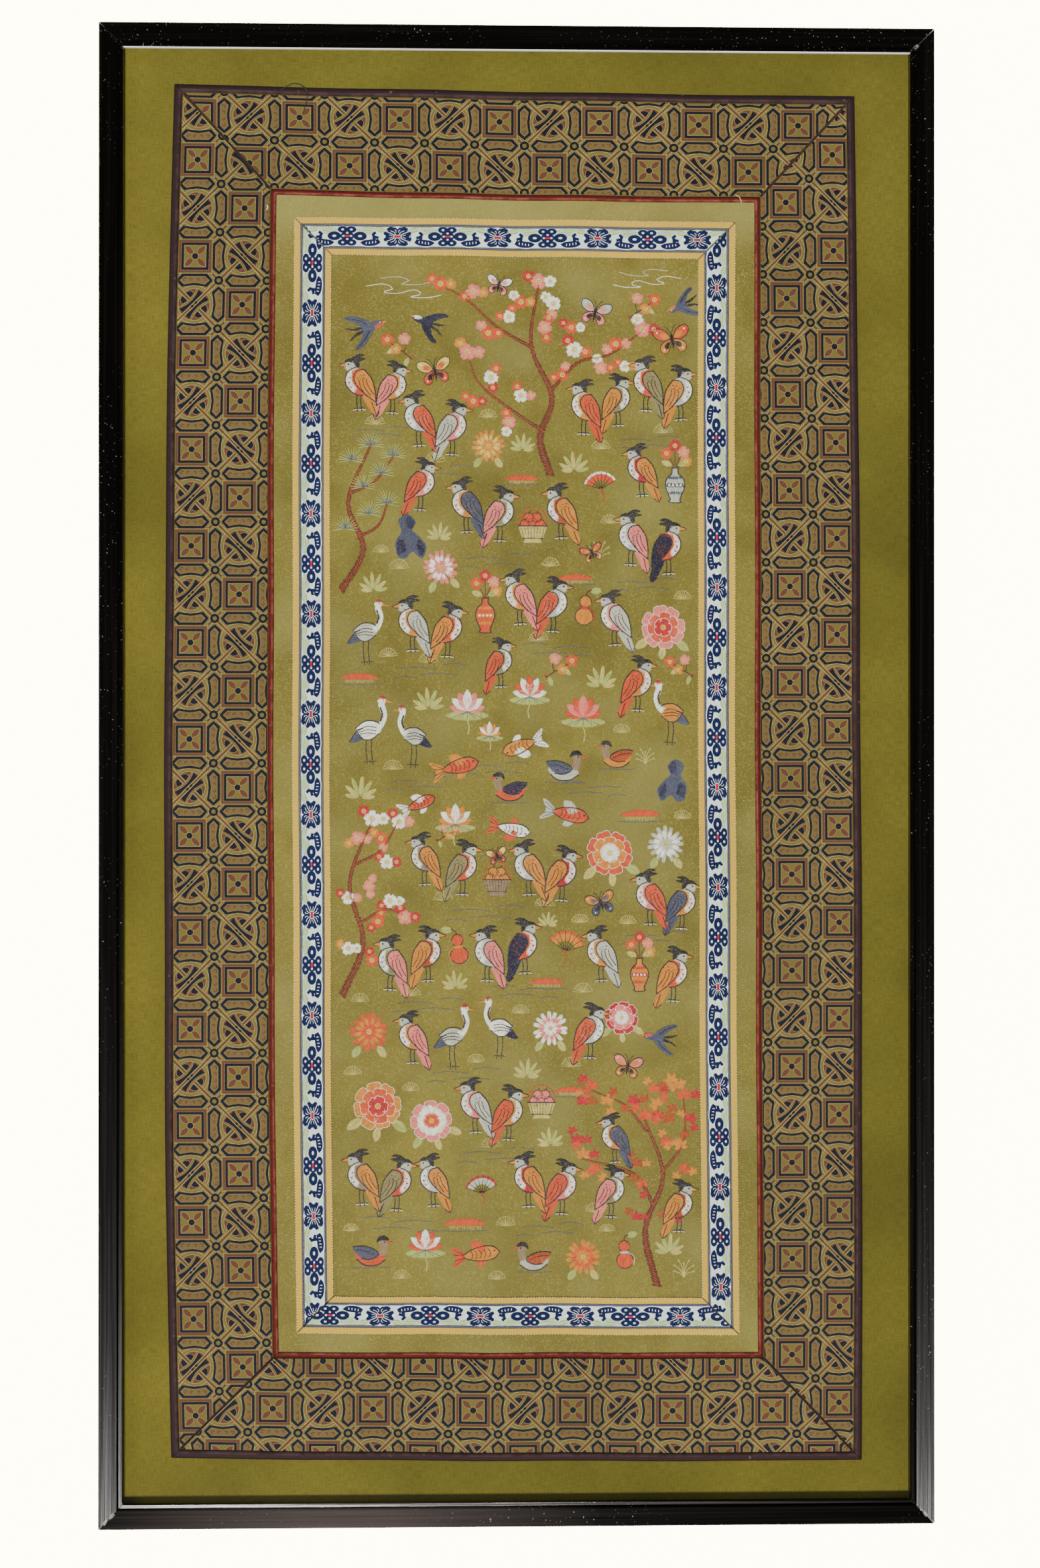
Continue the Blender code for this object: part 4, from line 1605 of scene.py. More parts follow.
def fill(spot, outline, floss, angle, level=0, ragged=0.13, smooth=True):
    """Satin stitch across an outline: close parallel stitches at this angle, with uneven ends."""
    ring = placed(spot, closed_line(outline) if smooth else outline)
    angle = (180 - angle if spot.flip else angle) + spot.turn
    turned = turned_by(ring, -angle)
    after = np.roll(turned, -1, axis=0)
    starts, ends = [], []
    rows = np.arange(turned[:, 1].min() + STITCH_PITCH * 0.4, turned[:, 1].max(), STITCH_PITCH)
    for number, v in enumerate(rows):
        crossing = (turned[:, 1] <= v) != (after[:, 1] <= v)
        a, b = turned[crossing], after[crossing]
        us = np.sort(a[:, 0] + (v - a[:, 1]) * (b[:, 0] - a[:, 0]) / (b[:, 1] - a[:, 1]))
        for near, far in zip(us[::2], us[1::2]):
            near += RNG.normal(-FILL_REACH, ragged)
            far += RNG.normal(FILL_REACH, ragged)
            if far - near < SHORTEST_STITCH:
                continue
            pieces = max(1, math.ceil((far - near) / LONGEST_STITCH))
            cuts = np.linspace(near, far, pieces + 1)
            cuts[1:-1] += (BRICK_SHIFT if number % 2 else -BRICK_SHIFT) * (far - near) / pieces
            for k in range(pieces):
                starts.append((cuts[k] - FILL_OVERLAP, v))
                ends.append((cuts[k + 1] + FILL_OVERLAP, v + RNG.normal(0, FILL_WANDER)))
    if starts:
        stitch(floss, turned_by(starts, angle), turned_by(ends, angle), STITCH_WIDTH, level)


def draw(spot, path, floss, width=0.75, level=5, smooth=True, step=2.2):
    """Stem stitch along a line: short stitches that overlap."""
    path = placed(spot, smooth_path(path) if smooth else path)
    run = run_of(path)
    places = np.linspace(0, run[-1], max(1, round(run[-1] / step)) + 1)
    points = points_on(path, run, places)
    overlap = np.diff(points, axis=0) * LINE_OVERLAP
    stitch(floss, points[:-1] - overlap, points[1:] + overlap, width, level, LINE_RISE)


def spokes(spot, centre, near, far, first, last, count, floss, width=0.5, level=1):
    """Straight stitches that spread from a point, between two angles."""
    angles = np.radians(np.linspace(first, last, count) + RNG.normal(0, 1.5, count))
    way = np.stack([np.cos(angles), np.sin(angles)], axis=1)
    reach = far * RNG.uniform(0.9, 1.05, count)[:, None]
    stitch(floss, placed(spot, np.array(centre) + near * way), placed(spot, np.array(centre) + reach * way),
           width, level)


def knots(spot, places, radius, floss, level=5):
    """Small round knots, each of three short stitches."""
    for place in np.atleast_2d(places):
        for angle in (10, 70, 130):
            half = polar(angle, radius)
            stitch(floss, placed(spot, [place - half]), placed(spot, [place + half]),
                   radius * 1.3 * spot.size, level, KNOT_RISE)


def petal(length, width, angle, x=0.0, y=0.0):
    """A petal's outline that starts at x, y and points along the angle."""
    shape = [(0, -0.22), (0.45, -0.5), (0.88, -0.46), (1.0, -0.16), (0.94, 0), (1.0, 0.16), (0.88, 0.46),
             (0.45, 0.5), (0, 0.22)]
    return turned_by(np.array(shape) * (length, width), angle) + (x, y)


def leaf(spot, x, y, length, width, angle, floss, level=0):
    """A leaf in two slanted halves with a split down its middle."""
    t = np.linspace(0, 1, 8)
    belly = np.sin(t * math.pi) ** 0.8
    for side in (1, -1):
        edge = np.stack([t * length, side * width / 2 * belly], axis=1)
        middle = np.stack([t[::-1] * length, side * 0.12 + 0 * t], axis=1)
        outline = turned_by(np.vstack([edge, middle[1:-1]]), angle) + (x, y)
        fill(spot, outline, floss, angle + side * 32, level, 0.1, smooth=False)


# ---------------------------------------------------------------- motifs, each charted about its own middle

BIRD_LEAN = 15.0


def perching_bird(spot, coat, wing):
    """A plump crested bird that leans forward on its legs, with a long tail behind it."""
    body = spot._replace(turn=spot.turn + (BIRD_LEAN if spot.flip else -BIRD_LEAN))
    head_x, head_y = placed(spot, [(4.1, -1.1)])[0]
    head = spot._replace(x=head_x, y=head_y)
    fill(body, [(-2.2, -6), (0.8, -6.4), (-2.2, -20.2), (-4.6, -23.0), (-6.6, -20.8),
                (-6.2, -9)], wing, 78, 0)
    fill(body, [(-0.8, 12.8), (4.4, 11.8), (8.2, 7.4), (8.4, 1.6), (5.0, -4.2), (-1.2, -7.2),
                (-6.2, -4), (-7.4, 2), (-5.8, 8.6)], coat, 64, 1)
    fill(body, [(2.6, 11.6), (5.8, 10.2), (8.2, 6.6), (8.0, 1.4), (5.4, -3.2), (3.0, -1),
                (4.4, 4), (3.2, 8.4)], "white", 82, 2)
    fill(body, [(-5.4, 9.6), (-0.4, 9.8), (2.6, 6), (1.8, 0.5), (-1.6, -6.5), (-6.8, -13.8),
                (-8.4, -6), (-8.6, 2)], wing, 74, 3)
    fill(head, oval(1.2, 15.0, 4.9, 4.1, 10), "silver", 15, 2)
    fill(head, [(-3.6, 13.2), (-3.7, 16.8), (-0.8, 19.4), (3.2, 19.4), (5.8, 17.4), (3.0, 17.3), (0.0, 16.6),
                (-1.6, 14.2)], "black", 35, 4)
    for reach, tip in ((0.0, 21.6), (-0.7, 19.2)):
        fill(head, [(1.4 + reach, 19.0), (-3.2 + reach, tip + 0.7), (-8.0 + reach, tip - 0.2),
                    (-4.4 + reach, tip - 1.4), (-1.6 + reach, 17.2)], "black", 10, 4)
    fill(head, [(5.4, 16.9), (11.0, 14.9), (5.4, 13.9)], "golden", 0, 3, smooth=False)
    draw(head, [(5.2, 17.0), (11.0, 15.0), (5.4, 13.8)], "black", 0.45, smooth=False)
    knots(head, [(3.4, 15.7)], 0.6, "black", 5)
    draw(body, [(-1.0, 12.8), (4.6, 11.9), (8.4, 7.4), (8.6, 1.6), (5.0, -4.4), (0.0, -7.0)], "black", 0.8)
    draw(body, [(-5.6, 9.8), (-0.4, 10.0), (2.7, 6), (1.9, 0.5), (-1.6, -6.5), (-6.9, -13.8)], "black", 0.85)
    draw(body, [(-5.6, 9.8), (-8.7, 2), (-8.5, -6), (-6.9, -13.8)], "black", 0.85)
    for x in (-6.4, -3.9, -1.4):
        draw(body, [(x + 1.2, 3.4), (x + 1.4, -1.5), (x - 0.8, -8.4)], "black", 0.6)
    for x, y in ((-4.6, 6.6), (-2.2, 6.8), (0.0, 5.8), (-3.6, 4.6), (-1.0, 4.2)):
        spokes(body, (x, y), 0.0, 1.2, 215, 325, 3, "black", 0.5, 4)
    for x, y in ((5.2, 7.6), (6.6, 4.6), (6.2, 1.2)):
        spokes(body, (x, y), 0.0, 1.1, 215, 325, 3, "black", 0.45, 4)
    draw(body, [(-4.2, -13.0), (-4.5, -22.2)], "black", 0.6)
    draw(body, [(-6.9, -20.2), (-4.6, -23.4), (-1.9, -19.8)], "black", 0.6)
    for x in (-0.4, 2.4):
        draw(spot, [(x, -6.2), (x + 0.5, -10.6), (x + 0.1, -14.8)], "black", 0.8, 1)
        spokes(spot, (x + 0.1, -14.8), 0.0, 2.6, 195, 345, 3, "black", 0.75, 1)
        draw(spot, [(x - 2.4, -16.2), (x + 0.2, -15.6), (x + 2.8, -16.2)], "white", 0.45, 0)


def long_legged_bird(spot, body, tail):
    """A wading bird with a bent neck and long legs."""
    for x in (-1.4, 2.0):
        draw(spot, [(x, -3.4), (x - 0.6, -11), (x + 0.2, -19.2)], "black", 0.7, 0)
        spokes(spot, (x + 0.2, -19.2), 0.0, 2.6, 200, 350, 3, "black", 0.6, 0)
    fill(spot, [(-3, 1.4), (-8, -0.6), (-12.4, -6.8), (-8.4, -7.2), (-2.6, -4)], tail, 32, 1)
    fill(spot, [(-8.6, 1.5), (-3, 5.8), (3, 6.1), (7.4, 3.9), (6.6, -1.2), (1, -5.2),
                (-4.4, -4.6)], body, 12, 2)
    fill(spot, [(3.4, 3.4), (6.9, 5.9), (8.2, 10), (6.7, 14), (6.0, 18), (8.6, 19.4),
                (10.4, 15.4), (11.4, 10.5), (10.0, 4.6), (6.8, 0.6)], "white", 82, 3)
    fill(spot, oval(8.2, 19.3, 2.6, 2.1, 8), "white", 10, 4)
    fill(spot, [(6.4, 20.2), (8.0, 22.2), (10.2, 21.2), (9.2, 20.4)], "red", 10, 5)
    fill(spot, [(10.2, 20.0), (17.0, 17.9), (10.4, 18.4)], "golden", 345, 4, smooth=False)
    knots(spot, [(9.0, 19.6)], 0.42, "black", 6)
    draw(spot, [(7.0, 15.2), (8.6, 10.4), (7.2, 6.2)], "black", 1.2, 5)
    draw(spot, [(-8.8, 1.6), (-3, 6.1), (3, 6.4), (6.8, 4.6)], "black", 0.7)
    draw(spot, [(-8.6, 1.2), (-4.4, -4.9), (1, -5.5), (6.6, -1.4)], "black", 0.7)
    for lift in (0.0, -2.2, -4.2):
        line = [(-7.6 + abs(lift) * 0.5, 0.6 + lift * 0.6), (-1, 3.0 + lift), (4.6, 2.2 + lift)]
        draw(spot, line, "black", 0.55)
    draw(spot, [(-12.6, -7.0), (-8, -0.4), (-4, 1.6)], "black", 0.6)


def swallow(spot, back, throat):
    """A bird in flight with a forked tail."""
    for side in (1, -1):
        fill(spot, np.array([(1, 1.2), (-4, 7), (-12, 12), (-17, 11.4), (-11, 6.4), (-7, 1.2), (-3, -0.4)])
             * (1, side), back, 140 * side, 1)
        draw(spot, np.array([(-3, 2.4), (-8, 7.2), (-15.4, 11.2)]) * (1, side), "black", 0.6)
        tail = np.array([(-7, 0.4), (-13, 1.2), (-19, 4.8), (-13.4, 3.2), (-7.4, 1.8)]) * (1, side)
        fill(spot, tail, "black", 165 * side, 1)
    fill(spot, [(8.6, 0.2), (5.6, 2.6), (0, 2.8), (-7, 1.2), (-7, -1.2), (0, -2.6), (5.6, -2.2)], back, 0, 2)
    fill(spot, [(8.4, 0), (6.2, -2.0), (1.6, -2.4), (2.4, 0.0), (5.4, 0.8)], throat, 0, 3)
    fill(spot, [(8.2, 0.9), (11.6, 0.2), (8.2, -0.7)], "golden", 0, 3, smooth=False)
    knots(spot, [(6.2, 1.0)], 0.45, "white", 4)


def butterfly(spot, upper, lower):
    """A butterfly with spread wings, seen from above."""
    for side in (1, -1):
        flip = (side, 1)
        top = np.array([(0.7, 1.5), (4.6, 8.0), (11, 10.5), (14.4, 8), (12.2, 2.6), (6, -0.2)]) * flip
        low = np.array([(0.8, 0.4), (6.4, -0.8), (10.4, -4.5), (9.4, -9.4), (5.4, -10.2), (2, -5)]) * flip
        lean = 38 if side == 1 else 142
        fill(spot, low, lower, 180 - lean, 0)
        fill(spot, top, upper, lean, 1)
        fill(spot, top * 0.55 + np.array((side * 1.2, 1.0)), lower, lean, 2)
        fill(spot, low * 0.5 + np.array((side * 1.4, -1.4)), "black", 180 - lean, 2)
        draw(spot, np.vstack([top, top[:1]]), "black", 0.6, 4)
        draw(spot, np.vstack([low, low[:1]]), "black", 0.55, 3)
        knots(spot, [(side * 10.8, 7.4), (side * 7.4, -7.2)], 0.7, "white", 4)
        draw(spot, [(side * 0.3, 4.4), (side * 2.2, 9.4), (side * 4.6, 11.6)], "black", 0.4, 4)
    fill(spot, [(0, 5.4), (1.0, 2), (0.8, -4), (0, -8), (-0.8, -4), (-1.0, 2)], "black", 80, 5)


def flower(spot, rings, heart, edge=None):
    """A round flower: rings of petals given as (count, start, length, width, floss, turn)."""
    for level, (count, start, length, width, floss, turn) in enumerate(rings):
        for k in range(count):
            angle = turn + 360 * k / count + RNG.normal(0, 3)
            x, y = polar(angle, start)
            outline = petal(length * RNG.uniform(0.93, 1.06), width, angle, x, y)
            fill(spot, outline, floss, angle, level * 1.4 + 0.5 * (k % 2))
            if edge:
                draw(spot, outline[1:8], edge, 0.4, level * 1.4 + 1.3)
    knots(spot, np.vstack([oval(0, 0, 1.5, 1.5, 7), [(0, 0)]]), 0.6, heart, len(rings) * 1.4 + 1)


def peony(spot, outer, middle, inner):
    """A full flower of three rings of petals over three leaves."""
    leaf(spot, -10, -8, 12, 6, 215, "straw")
    leaf(spot, 9, -9, 12, 6, 320, "pale green")
    leaf(spot, 0, -13, 10, 5, 262, "straw")
    rings = [(8, 6.0, 9.4, 9.6, outer, 10), (7, 3.2, 8.0, 8.4, middle, 30), (5, 0.6, 5.8, 6.4, inner, 0)]
    flower(spot, rings, "lemon", "white")


def chrysanthemum(spot, outer, inner):
    """A flower of many thin petals over two leaves."""
    leaf(spot, -6, -10, 10, 5.5, 235, "pale green")
    leaf(spot, 6, -10, 10, 5.5, 305, "straw")
    rings = [(15, 4.4, 9.2, 2.8, outer, 0), (12, 3.0, 7.0, 2.7, inner, 12), (9, 1.2, 4.8, 2.4, outer, 0)]
    flower(spot, rings, "lemon")


def blossom(spot, floss, heart="lemon"):
    flower(spot, [(5, 0.9, 4.0, 4.0, floss, 90)], heart)


def lotus(spot, floss, inner):
    """A lotus from the side, over its pad."""
    fill(spot, [(-15, -8), (-9, -5.4), (0, -4.6), (9, -5.4), (15, -8), (8, -10.6), (0, -11.2), (-8, -10.6)],
         "pale green", 88, 0)
    for x in (-11, -6, 0, 6, 11):
        draw(spot, [(0, -5.2), (x, -9.8)], "slate", 0.45, 2, smooth=False)
    for level, (angle, length, width, colour) in enumerate((
            (168, 13, 5.4, floss), (12, 13, 5.4, floss), (142, 14, 6.0, inner), (38, 14, 6.0, inner),
            (116, 14.5, 6.2, floss), (64, 14.5, 6.2, floss), (90, 15.0, 6.4, inner))):
        t = np.linspace(0, 1, 7)
        half = width / 2 * np.sin(t * math.pi) ** 0.7
        upper = np.stack([t * length, half], 1)
        outline = np.vstack([upper, upper[-2:0:-1] * (1, -1)])
        fill(spot, turned_by(outline, angle) + (0, -4.5), colour, angle, 1 + level * 0.6, smooth=False)
    draw(spot, [(0, -11.2), (1.4, -16.0), (0.4, -21.0)], "pale green", 0.9, 0)


def koi(spot, main, second):
    """A carp with flowing fins."""
    fill(spot, [(-8.6, 0.8), (-13, 4.8), (-18.6, 7.2), (-15.8, 1.2), (-16, -1.6), (-18.4, -6.6), (-13, -4.4),
                (-8.6, -0.8)], second, 0, 0)
    fill(spot, [(5, 3.6), (1, 8.6), (-4.6, 8.2), (-2.4, 3.4)], second, 120, 0)
    fill(spot, [(5, -3.2), (2, -7.8), (-2.4, -7.4), (0, -3.2)], second, 60, 0)
    fill(spot, [(14, 0), (10, 3.9), (3, 4.9), (-5, 3.3), (-10, 0.9), (-10, -0.9), (-5, -3.1), (3, -4.5),
                (10, -3.6)],
         main, 3, 1)
    fill(spot, [(6, 4.0), (2, 4.4), (-2, 3.2), (0, 0.8), (4, 1.4)], second, 3, 2)
    draw(spot, [(14, 0), (10, 4.1), (3, 5.1), (-5, 3.5), (-10, 1.1)], "black", 0.6)
    draw(spot, [(14, 0), (10, -3.8), (3, -4.7), (-5, -3.3), (-10, -1.1)], "black", 0.6)
    for x in (6.4, 3.2, 0.2, -2.8, -5.6):
        draw(spot, [(x, 3.0), (x + 1.6, 0.2), (x, -2.6)], "black", 0.45)
    for y in (4.2, 1.6, -1.6, -4.0):
        draw(spot, [(-10, y * 0.2), (-16.8, y * 1.3)], "black", 0.4, 3, smooth=False)
    knots(spot, [(10.6, 1.2)], 0.6, "black")


def duck(spot, back, side):
    """A duck that swims, with a crest and a lifted wing."""
    fill(spot, [(-11, 1.8), (-5, 3.4), (2, 2.6), (7.4, 1.0), (8.6, -3.4), (3, -6.8), (-5, -6.6), (-10, -3)],
         side, 8, 0)
    fill(spot, [(-12.6, 5.2), (-6, 5.8), (1, 3.6), (4.6, 0.2), (-1, -2.8), (-7, -2.2),
                (-10, 0.8)], back, 20, 2)
    fill(spot, [(4.4, 1.0), (5.4, 6.0), (4.6, 9.4), (9.2, 10.4), (10.8, 6.6), (8.8, 0.2)], "beige", 80, 2)
    fill(spot, [(3.2, 8.2), (4.6, 12.0), (8.6, 12.8), (11.2, 10.2), (9.4, 9.6), (6.2, 9.8)], "black", 20, 3)
    fill(spot, [(10.6, 9.6), (15.0, 8.4), (10.8, 7.6)], "coral", 350, 3, smooth=False)
    knots(spot, [(8.6, 8.6)], 0.5, "black")
    draw(spot, [(-12.8, 5.4), (-6, 6.0), (1, 3.8), (4.7, 0.2), (-1, -3.0), (-7, -2.4)], "black", 0.8)
    draw(spot, [(-10.4, 3.4), (-4, 2.6), (1.6, 0.2)], "black", 0.6)
    draw(spot, [(8.8, -3.4), (3, -7.0), (-5, -6.8), (-10.2, -3)], "black", 0.8)
    draw(spot, [(-14, -8.4), (-4, -8.8), (8, -8.2), (13, -8.8)], "slate", 0.5, 0)


def vase(spot, body, band):
    """A shouldered vase with banded decoration and a spray of blossoms."""
    side = [(2.4, 12), (2.0, 8.4), (5.8, 4.6), (6.8, -1), (4.6, -7), (3.2, -10.5), (4.2, -12.4)]
    outline = side + [(-x, y) for x, y in side[::-1]]
    fill(spot, outline, body, 90, 1)
    for low, high, half in ((4.0, 6.2, 4.6), (-6.6, -4.4, 4.7), (-1.6, 1.4, 6.4)):
        stripe = [(-half, low), (half, low), (half * 0.94, high), (-half * 0.94, high)]
        fill(spot, stripe, band, 90, 2, smooth=False)
    knots(spot, [(-4, -0.1), (-1.4, -0.1), (1.4, -0.1), (4, -0.1)], 0.8, "white", 4)
    draw(spot, outline + outline[:1], "black", 0.8, 4)
    for angle, reach, floss in ((118, 13, "coral"), (90, 17, "red"), (64, 14, "pink"), (38, 10, "golden")):
        end = polar(angle, reach)
        draw(spot, [(0, 11), (end[0] * 0.4, 11 + end[1] * 0.5), (end[0], 11 + end[1])], "brown", 0.6, 0)
        tip = placed(spot, [(end[0], 11 + end[1])])[0]
        blossom(Spot(*tip, 0.85 * spot.size), floss)
    leaf(spot, 2, 14, 8, 4, 20, "pale green", 1)
    leaf(spot, -2, 14, 8, 4, 160, "straw", 1)


def fruit_basket(spot, weave, fruit):
    """A footed basket heaped with fruit."""
    for x, y in ((-5.4, 3.4), (0, 4.4), (5.4, 3.4), (-2.8, 8.2), (2.8, 8.2)):
        fill(spot, oval(x, y, 3.6, 3.4, 10), fruit, 70, 1 + (y > 6))
        draw(spot, oval(x, y, 3.6, 3.4, 10), "black", 0.5, 3)
        draw(spot, [(x, y + 3.0), (x + 1.0, y + 4.8)], "brown", 0.6, 4, smooth=False)
    fill(spot, [(-10, 2.0), (10, 2.0), (7.4, -6.4), (-7.4, -6.4)], weave, 0, 3, smooth=False)
    for x in np.linspace(-8.2, 8.2, 8):
        draw(spot, [(x, 1.8), (x * 0.78, -6.2)], "brown", 0.55, 4, smooth=False)
    fill(spot, [(-5, -6.4), (5, -6.4), (6.6, -9.6), (-6.6, -9.6)], weave, 0, 3, smooth=False)
    draw(spot, [(-10.4, 2.2), (10.4, 2.2)], "black", 0.9, 5, smooth=False)
    draw(spot, [(-7.4, -6.5), (7.4, -6.5)], "black", 0.7, 5, smooth=False)
    draw(spot, [(-9.6, 2.2), (-8.8, 10), (0, 15.4), (8.8, 10), (9.6, 2.2)], "terracotta", 1.0, 0)


def gourd(spot, body, cord):
    """A double gourd with a leaf and a tied cord."""
    fill(spot, oval(0, -5, 6.2, 6.0, 12), body, 78, 1)
    fill(spot, oval(0, 5.6, 4.0, 4.2, 10), body, 78, 2)
    draw(spot, oval(0, -5, 6.3, 6.1, 12), "black", 0.6, 3)
    draw(spot, oval(0, 5.6, 4.1, 4.3, 10), "black", 0.6, 3)
    fill(spot, [(-3.2, 0.2), (3.2, 0.2), (3.0, 1.8), (-3.0, 1.8)], cord, 0, 4, smooth=False)
    draw(spot, [(2.6, 0.8), (7.0, -2.2), (6.4, -8.4)], cord, 0.7, 4)
    draw(spot, [(0, 9.6), (0.8, 12.4), (3.4, 14.0)], "brown", 0.9, 3)
    leaf(spot, 2.6, 13.2, 8.4, 5.0, 12, "pale green", 2)


def hand_fan(spot, leaf_floss, band):
    """A folding fan, open."""
    rim = arc(25, 155, 15, 14)
    fill(spot, np.vstack([rim, (rim * 0.52)[::-1]]), leaf_floss, 90, 1, smooth=False)
    fill(spot, np.vstack([rim, (rim * 0.88)[::-1]]), band, 90, 2, smooth=False)
    for k in range(0, 15, 2):
        draw(spot, [(0, 0), tuple(rim[k])], "black", 0.45, 3, smooth=False)
    knots(spot, [(0, 0)], 0.9, "red")
    draw(spot, [(0, -0.8), (1.6, -5.0), (0.4, -9.0)], "red", 0.7, 2)


def rock(spot):
    """A pierced garden rock in two blues."""
    fill(spot, [(-8, -12), (-10, -3), (-6, 4), (-8, 11), (-2, 15), (3, 10), (1, 5), (6, 0), (10, -6),
                (7, -13), (1, -9), (-3, -13)], "slate", 62, 0)
    fill(spot, [(-8, -11), (-9, -3), (-5, -1), (-3, -8)], "navy", 70, 1)
    fill(spot, [(-2, 14), (2.4, 10), (0.2, 5.4), (-3.2, 8.6)], "navy", 60, 1)
    fill(spot, [(5, -1), (9, -6), (6.4, -12), (3.6, -7)], "navy", 55, 1)


def grass_fan(spot):
    """A low fan of thin blades with a scalloped rim."""
    spokes(spot, (0, 0), 0.4, 7.2, 8, 172, 11, "straw", 0.42, 0)
    rim = arc(12, 168, 11, 6.4)
    stitch("straw", placed(spot, rim[:-1]), placed(spot, rim[1:]), 0.34, 0)


def fern(spot):
    """Pale leaves that spread from one root."""
    for angle, length in ((168, 9), (140, 11), (112, 12.5), (84, 13), (56, 12), (28, 10.5), (6, 8)):
        x, y = polar(angle, 1.2)
        leaf(spot, x, y, length, 2.6, angle, "straw" if angle % 56 else "pale green")


def mound(spot):
    """A low bank of coral stitches over straw roots and a slate line."""
    fill(spot, [(-15, -1.2), (-9, 2.4), (1, 3.4), (10, 2.6), (16, -0.6), (6, -1.6),
                (-6, -1.6)], "coral", 66, 1)
    xs = np.linspace(-11, 12, 20)
    stitch("straw", placed(spot, np.column_stack([xs, 0 * xs - 1.8])),
           placed(spot, np.column_stack([xs + 0.3, -4.4 + RNG.normal(0, 0.5, 20)])), 0.4, 0)
    draw(spot, [(-17, -5.6), (0, -6.2), (18, -5.4)], "slate", 0.5, 0, step=3.0)


def twig(spot):
    """A short flowering twig with three blossoms, a bud and two leaves."""
    draw(spot, [(-11, -7), (-4, -2.4), (2, 0.6), (10, 5.8)], "brown", 1.1, 0)
    draw(spot, [(-4, -2.4), (-5.4, 3.4), (-3.4, 7.6)], "brown", 0.8, 0)
    leaf(spot, -8, -6, 8, 3.6, 285, "pale green")
    leaf(spot, 3, 0.6, 8, 3.4, 318, "straw")
    for x, y, size, floss in ((10, 6.4, 1.0, "coral"), (-3.4, 8.2, 0.95, "pink"), (2.4, -0.4, 0.9, "golden")):
        middle = placed(spot, [(x, y)])[0]
        blossom(Spot(*middle, size * spot.size, spot.turn), floss)
    knots(spot, [(-11.4, -5.4), (5.6, 9.4)], 0.9, "red", 2)


def tuft(spot):
    """A tuft of long uneven blades."""
    for angle, length in ((150, 9), (130, 12), (108, 14), (90, 11), (72, 14), (52, 12), (32, 9)):
        end = polar(angle, length)
        draw(spot, [(0, 0), (end[0] * 0.35, end[1] * 0.6), (end[0], end[1])], "straw", 0.55, 0)
        spokes(spot, tuple(end * 0.85), 0.0, 2.0, angle - 30, angle + 30, 3, "pale green", 0.4, 1)


def cloud(spot):
    """A drifting cloud in thin silver lines."""
    draw(spot, [(-24, 4), (-12, 5), (-6, 1.6), (-13, -0.4), (-3, -1.6), (8, 0.6), (13, -2.6), (5, -4.2),
                (17, -5.0), (26, -3.6)], "white", 0.5, 0, step=2.8)
    draw(spot, [(-14, 9), (-2, 9.6), (5, 6.8), (0, 4.6), (12, 4.0), (22, 6.0)], "silver", 0.5, 0, step=2.8)


def ground(spot):
    """Broken slate lines of ground or water."""
    for x0, x1, y in ((-16, 2, 0), (-6, 13, -3.2), (5, 18, 2.0), (-19, -9, -4.6)):
        draw(spot, [(x0, y), ((x0 + x1) / 2, y + 0.8), (x1, y - 0.2)], "slate", 0.5, 0, step=3.0)


def maple_leaf(spot, floss):
    """A leaf of five pointed lobes."""
    for angle, length in ((90, 5.4), (38, 5.0), (142, 5.0), (-12, 3.8), (192, 3.8)):
        outline = lens(*polar(angle, length * 0.55), length * 0.55, 1.25, angle)
        fill(spot, outline, floss, angle, 0.6, smooth=False)


BARK_STITCH = 0.62
BARK_SLANT = 1.1


def branch(path, thick, thin):
    """A brown bough that thins, in slanting stitches whose ends leave a rough edge."""
    path = smooth_path(path, 8)
    run = run_of(path)
    for floss, pitch, share, level in (("brown", 0.42, 1.0, 0), ("terracotta", 1.9, 0.55, 1)):
        places = np.arange(0, run[-1], pitch)
        middle = points_on(path, run, places)
        way = unit_steps(np.gradient(middle, axis=0))
        side = left_of(way)
        half = np.interp(places, (0, run[-1]), (thick, thin))[:, None] / 2 * share
        half = half * RNG.uniform(0.8, 1.35, (len(places), 1))
        reach, slant = side * half, way * BARK_SLANT
        stitch(floss, middle - reach - slant, middle + reach + slant, BARK_STITCH, level)


def tree(boughs, grown=(), motif=blossom, flosses=()):
    """Boughs as (points, thick, thin), then leaves or blossoms as (x, y, size, turn, floss)."""
    for path, thick, thin in boughs:
        branch(path, thick, thin)
    for x, y, size, turn, floss in grown:
        for number, angle in enumerate((turn * 7, turn * 7 + 130 + RNG.uniform(-25, 25))):
            away = polar(angle, 7.6 * size)
            other = flosses[RNG.integers(len(flosses))]
            motif(Spot(x + away[0], y + away[1], size * 0.82, turn + 40 * number), other)
        motif(Spot(x, y, size * 1.1, turn), floss)


# ---------------------------------------------------------------- the embroidered garden, placed one by one

KINDS = {
    "bird": perching_bird, "wader": long_legged_bird, "swallow": swallow, "butterfly": butterfly,
    "peony": peony, "aster": chrysanthemum, "lotus": lotus, "koi": koi, "duck": duck,
    "vase": vase, "basket": fruit_basket, "gourd": gourd, "fan": hand_fan, "rock": rock,
    "grass": grass_fan, "tuft": tuft, "cloud": cloud, "ground": ground, "fern": fern,
    "mound": mound, "twig": twig,
}

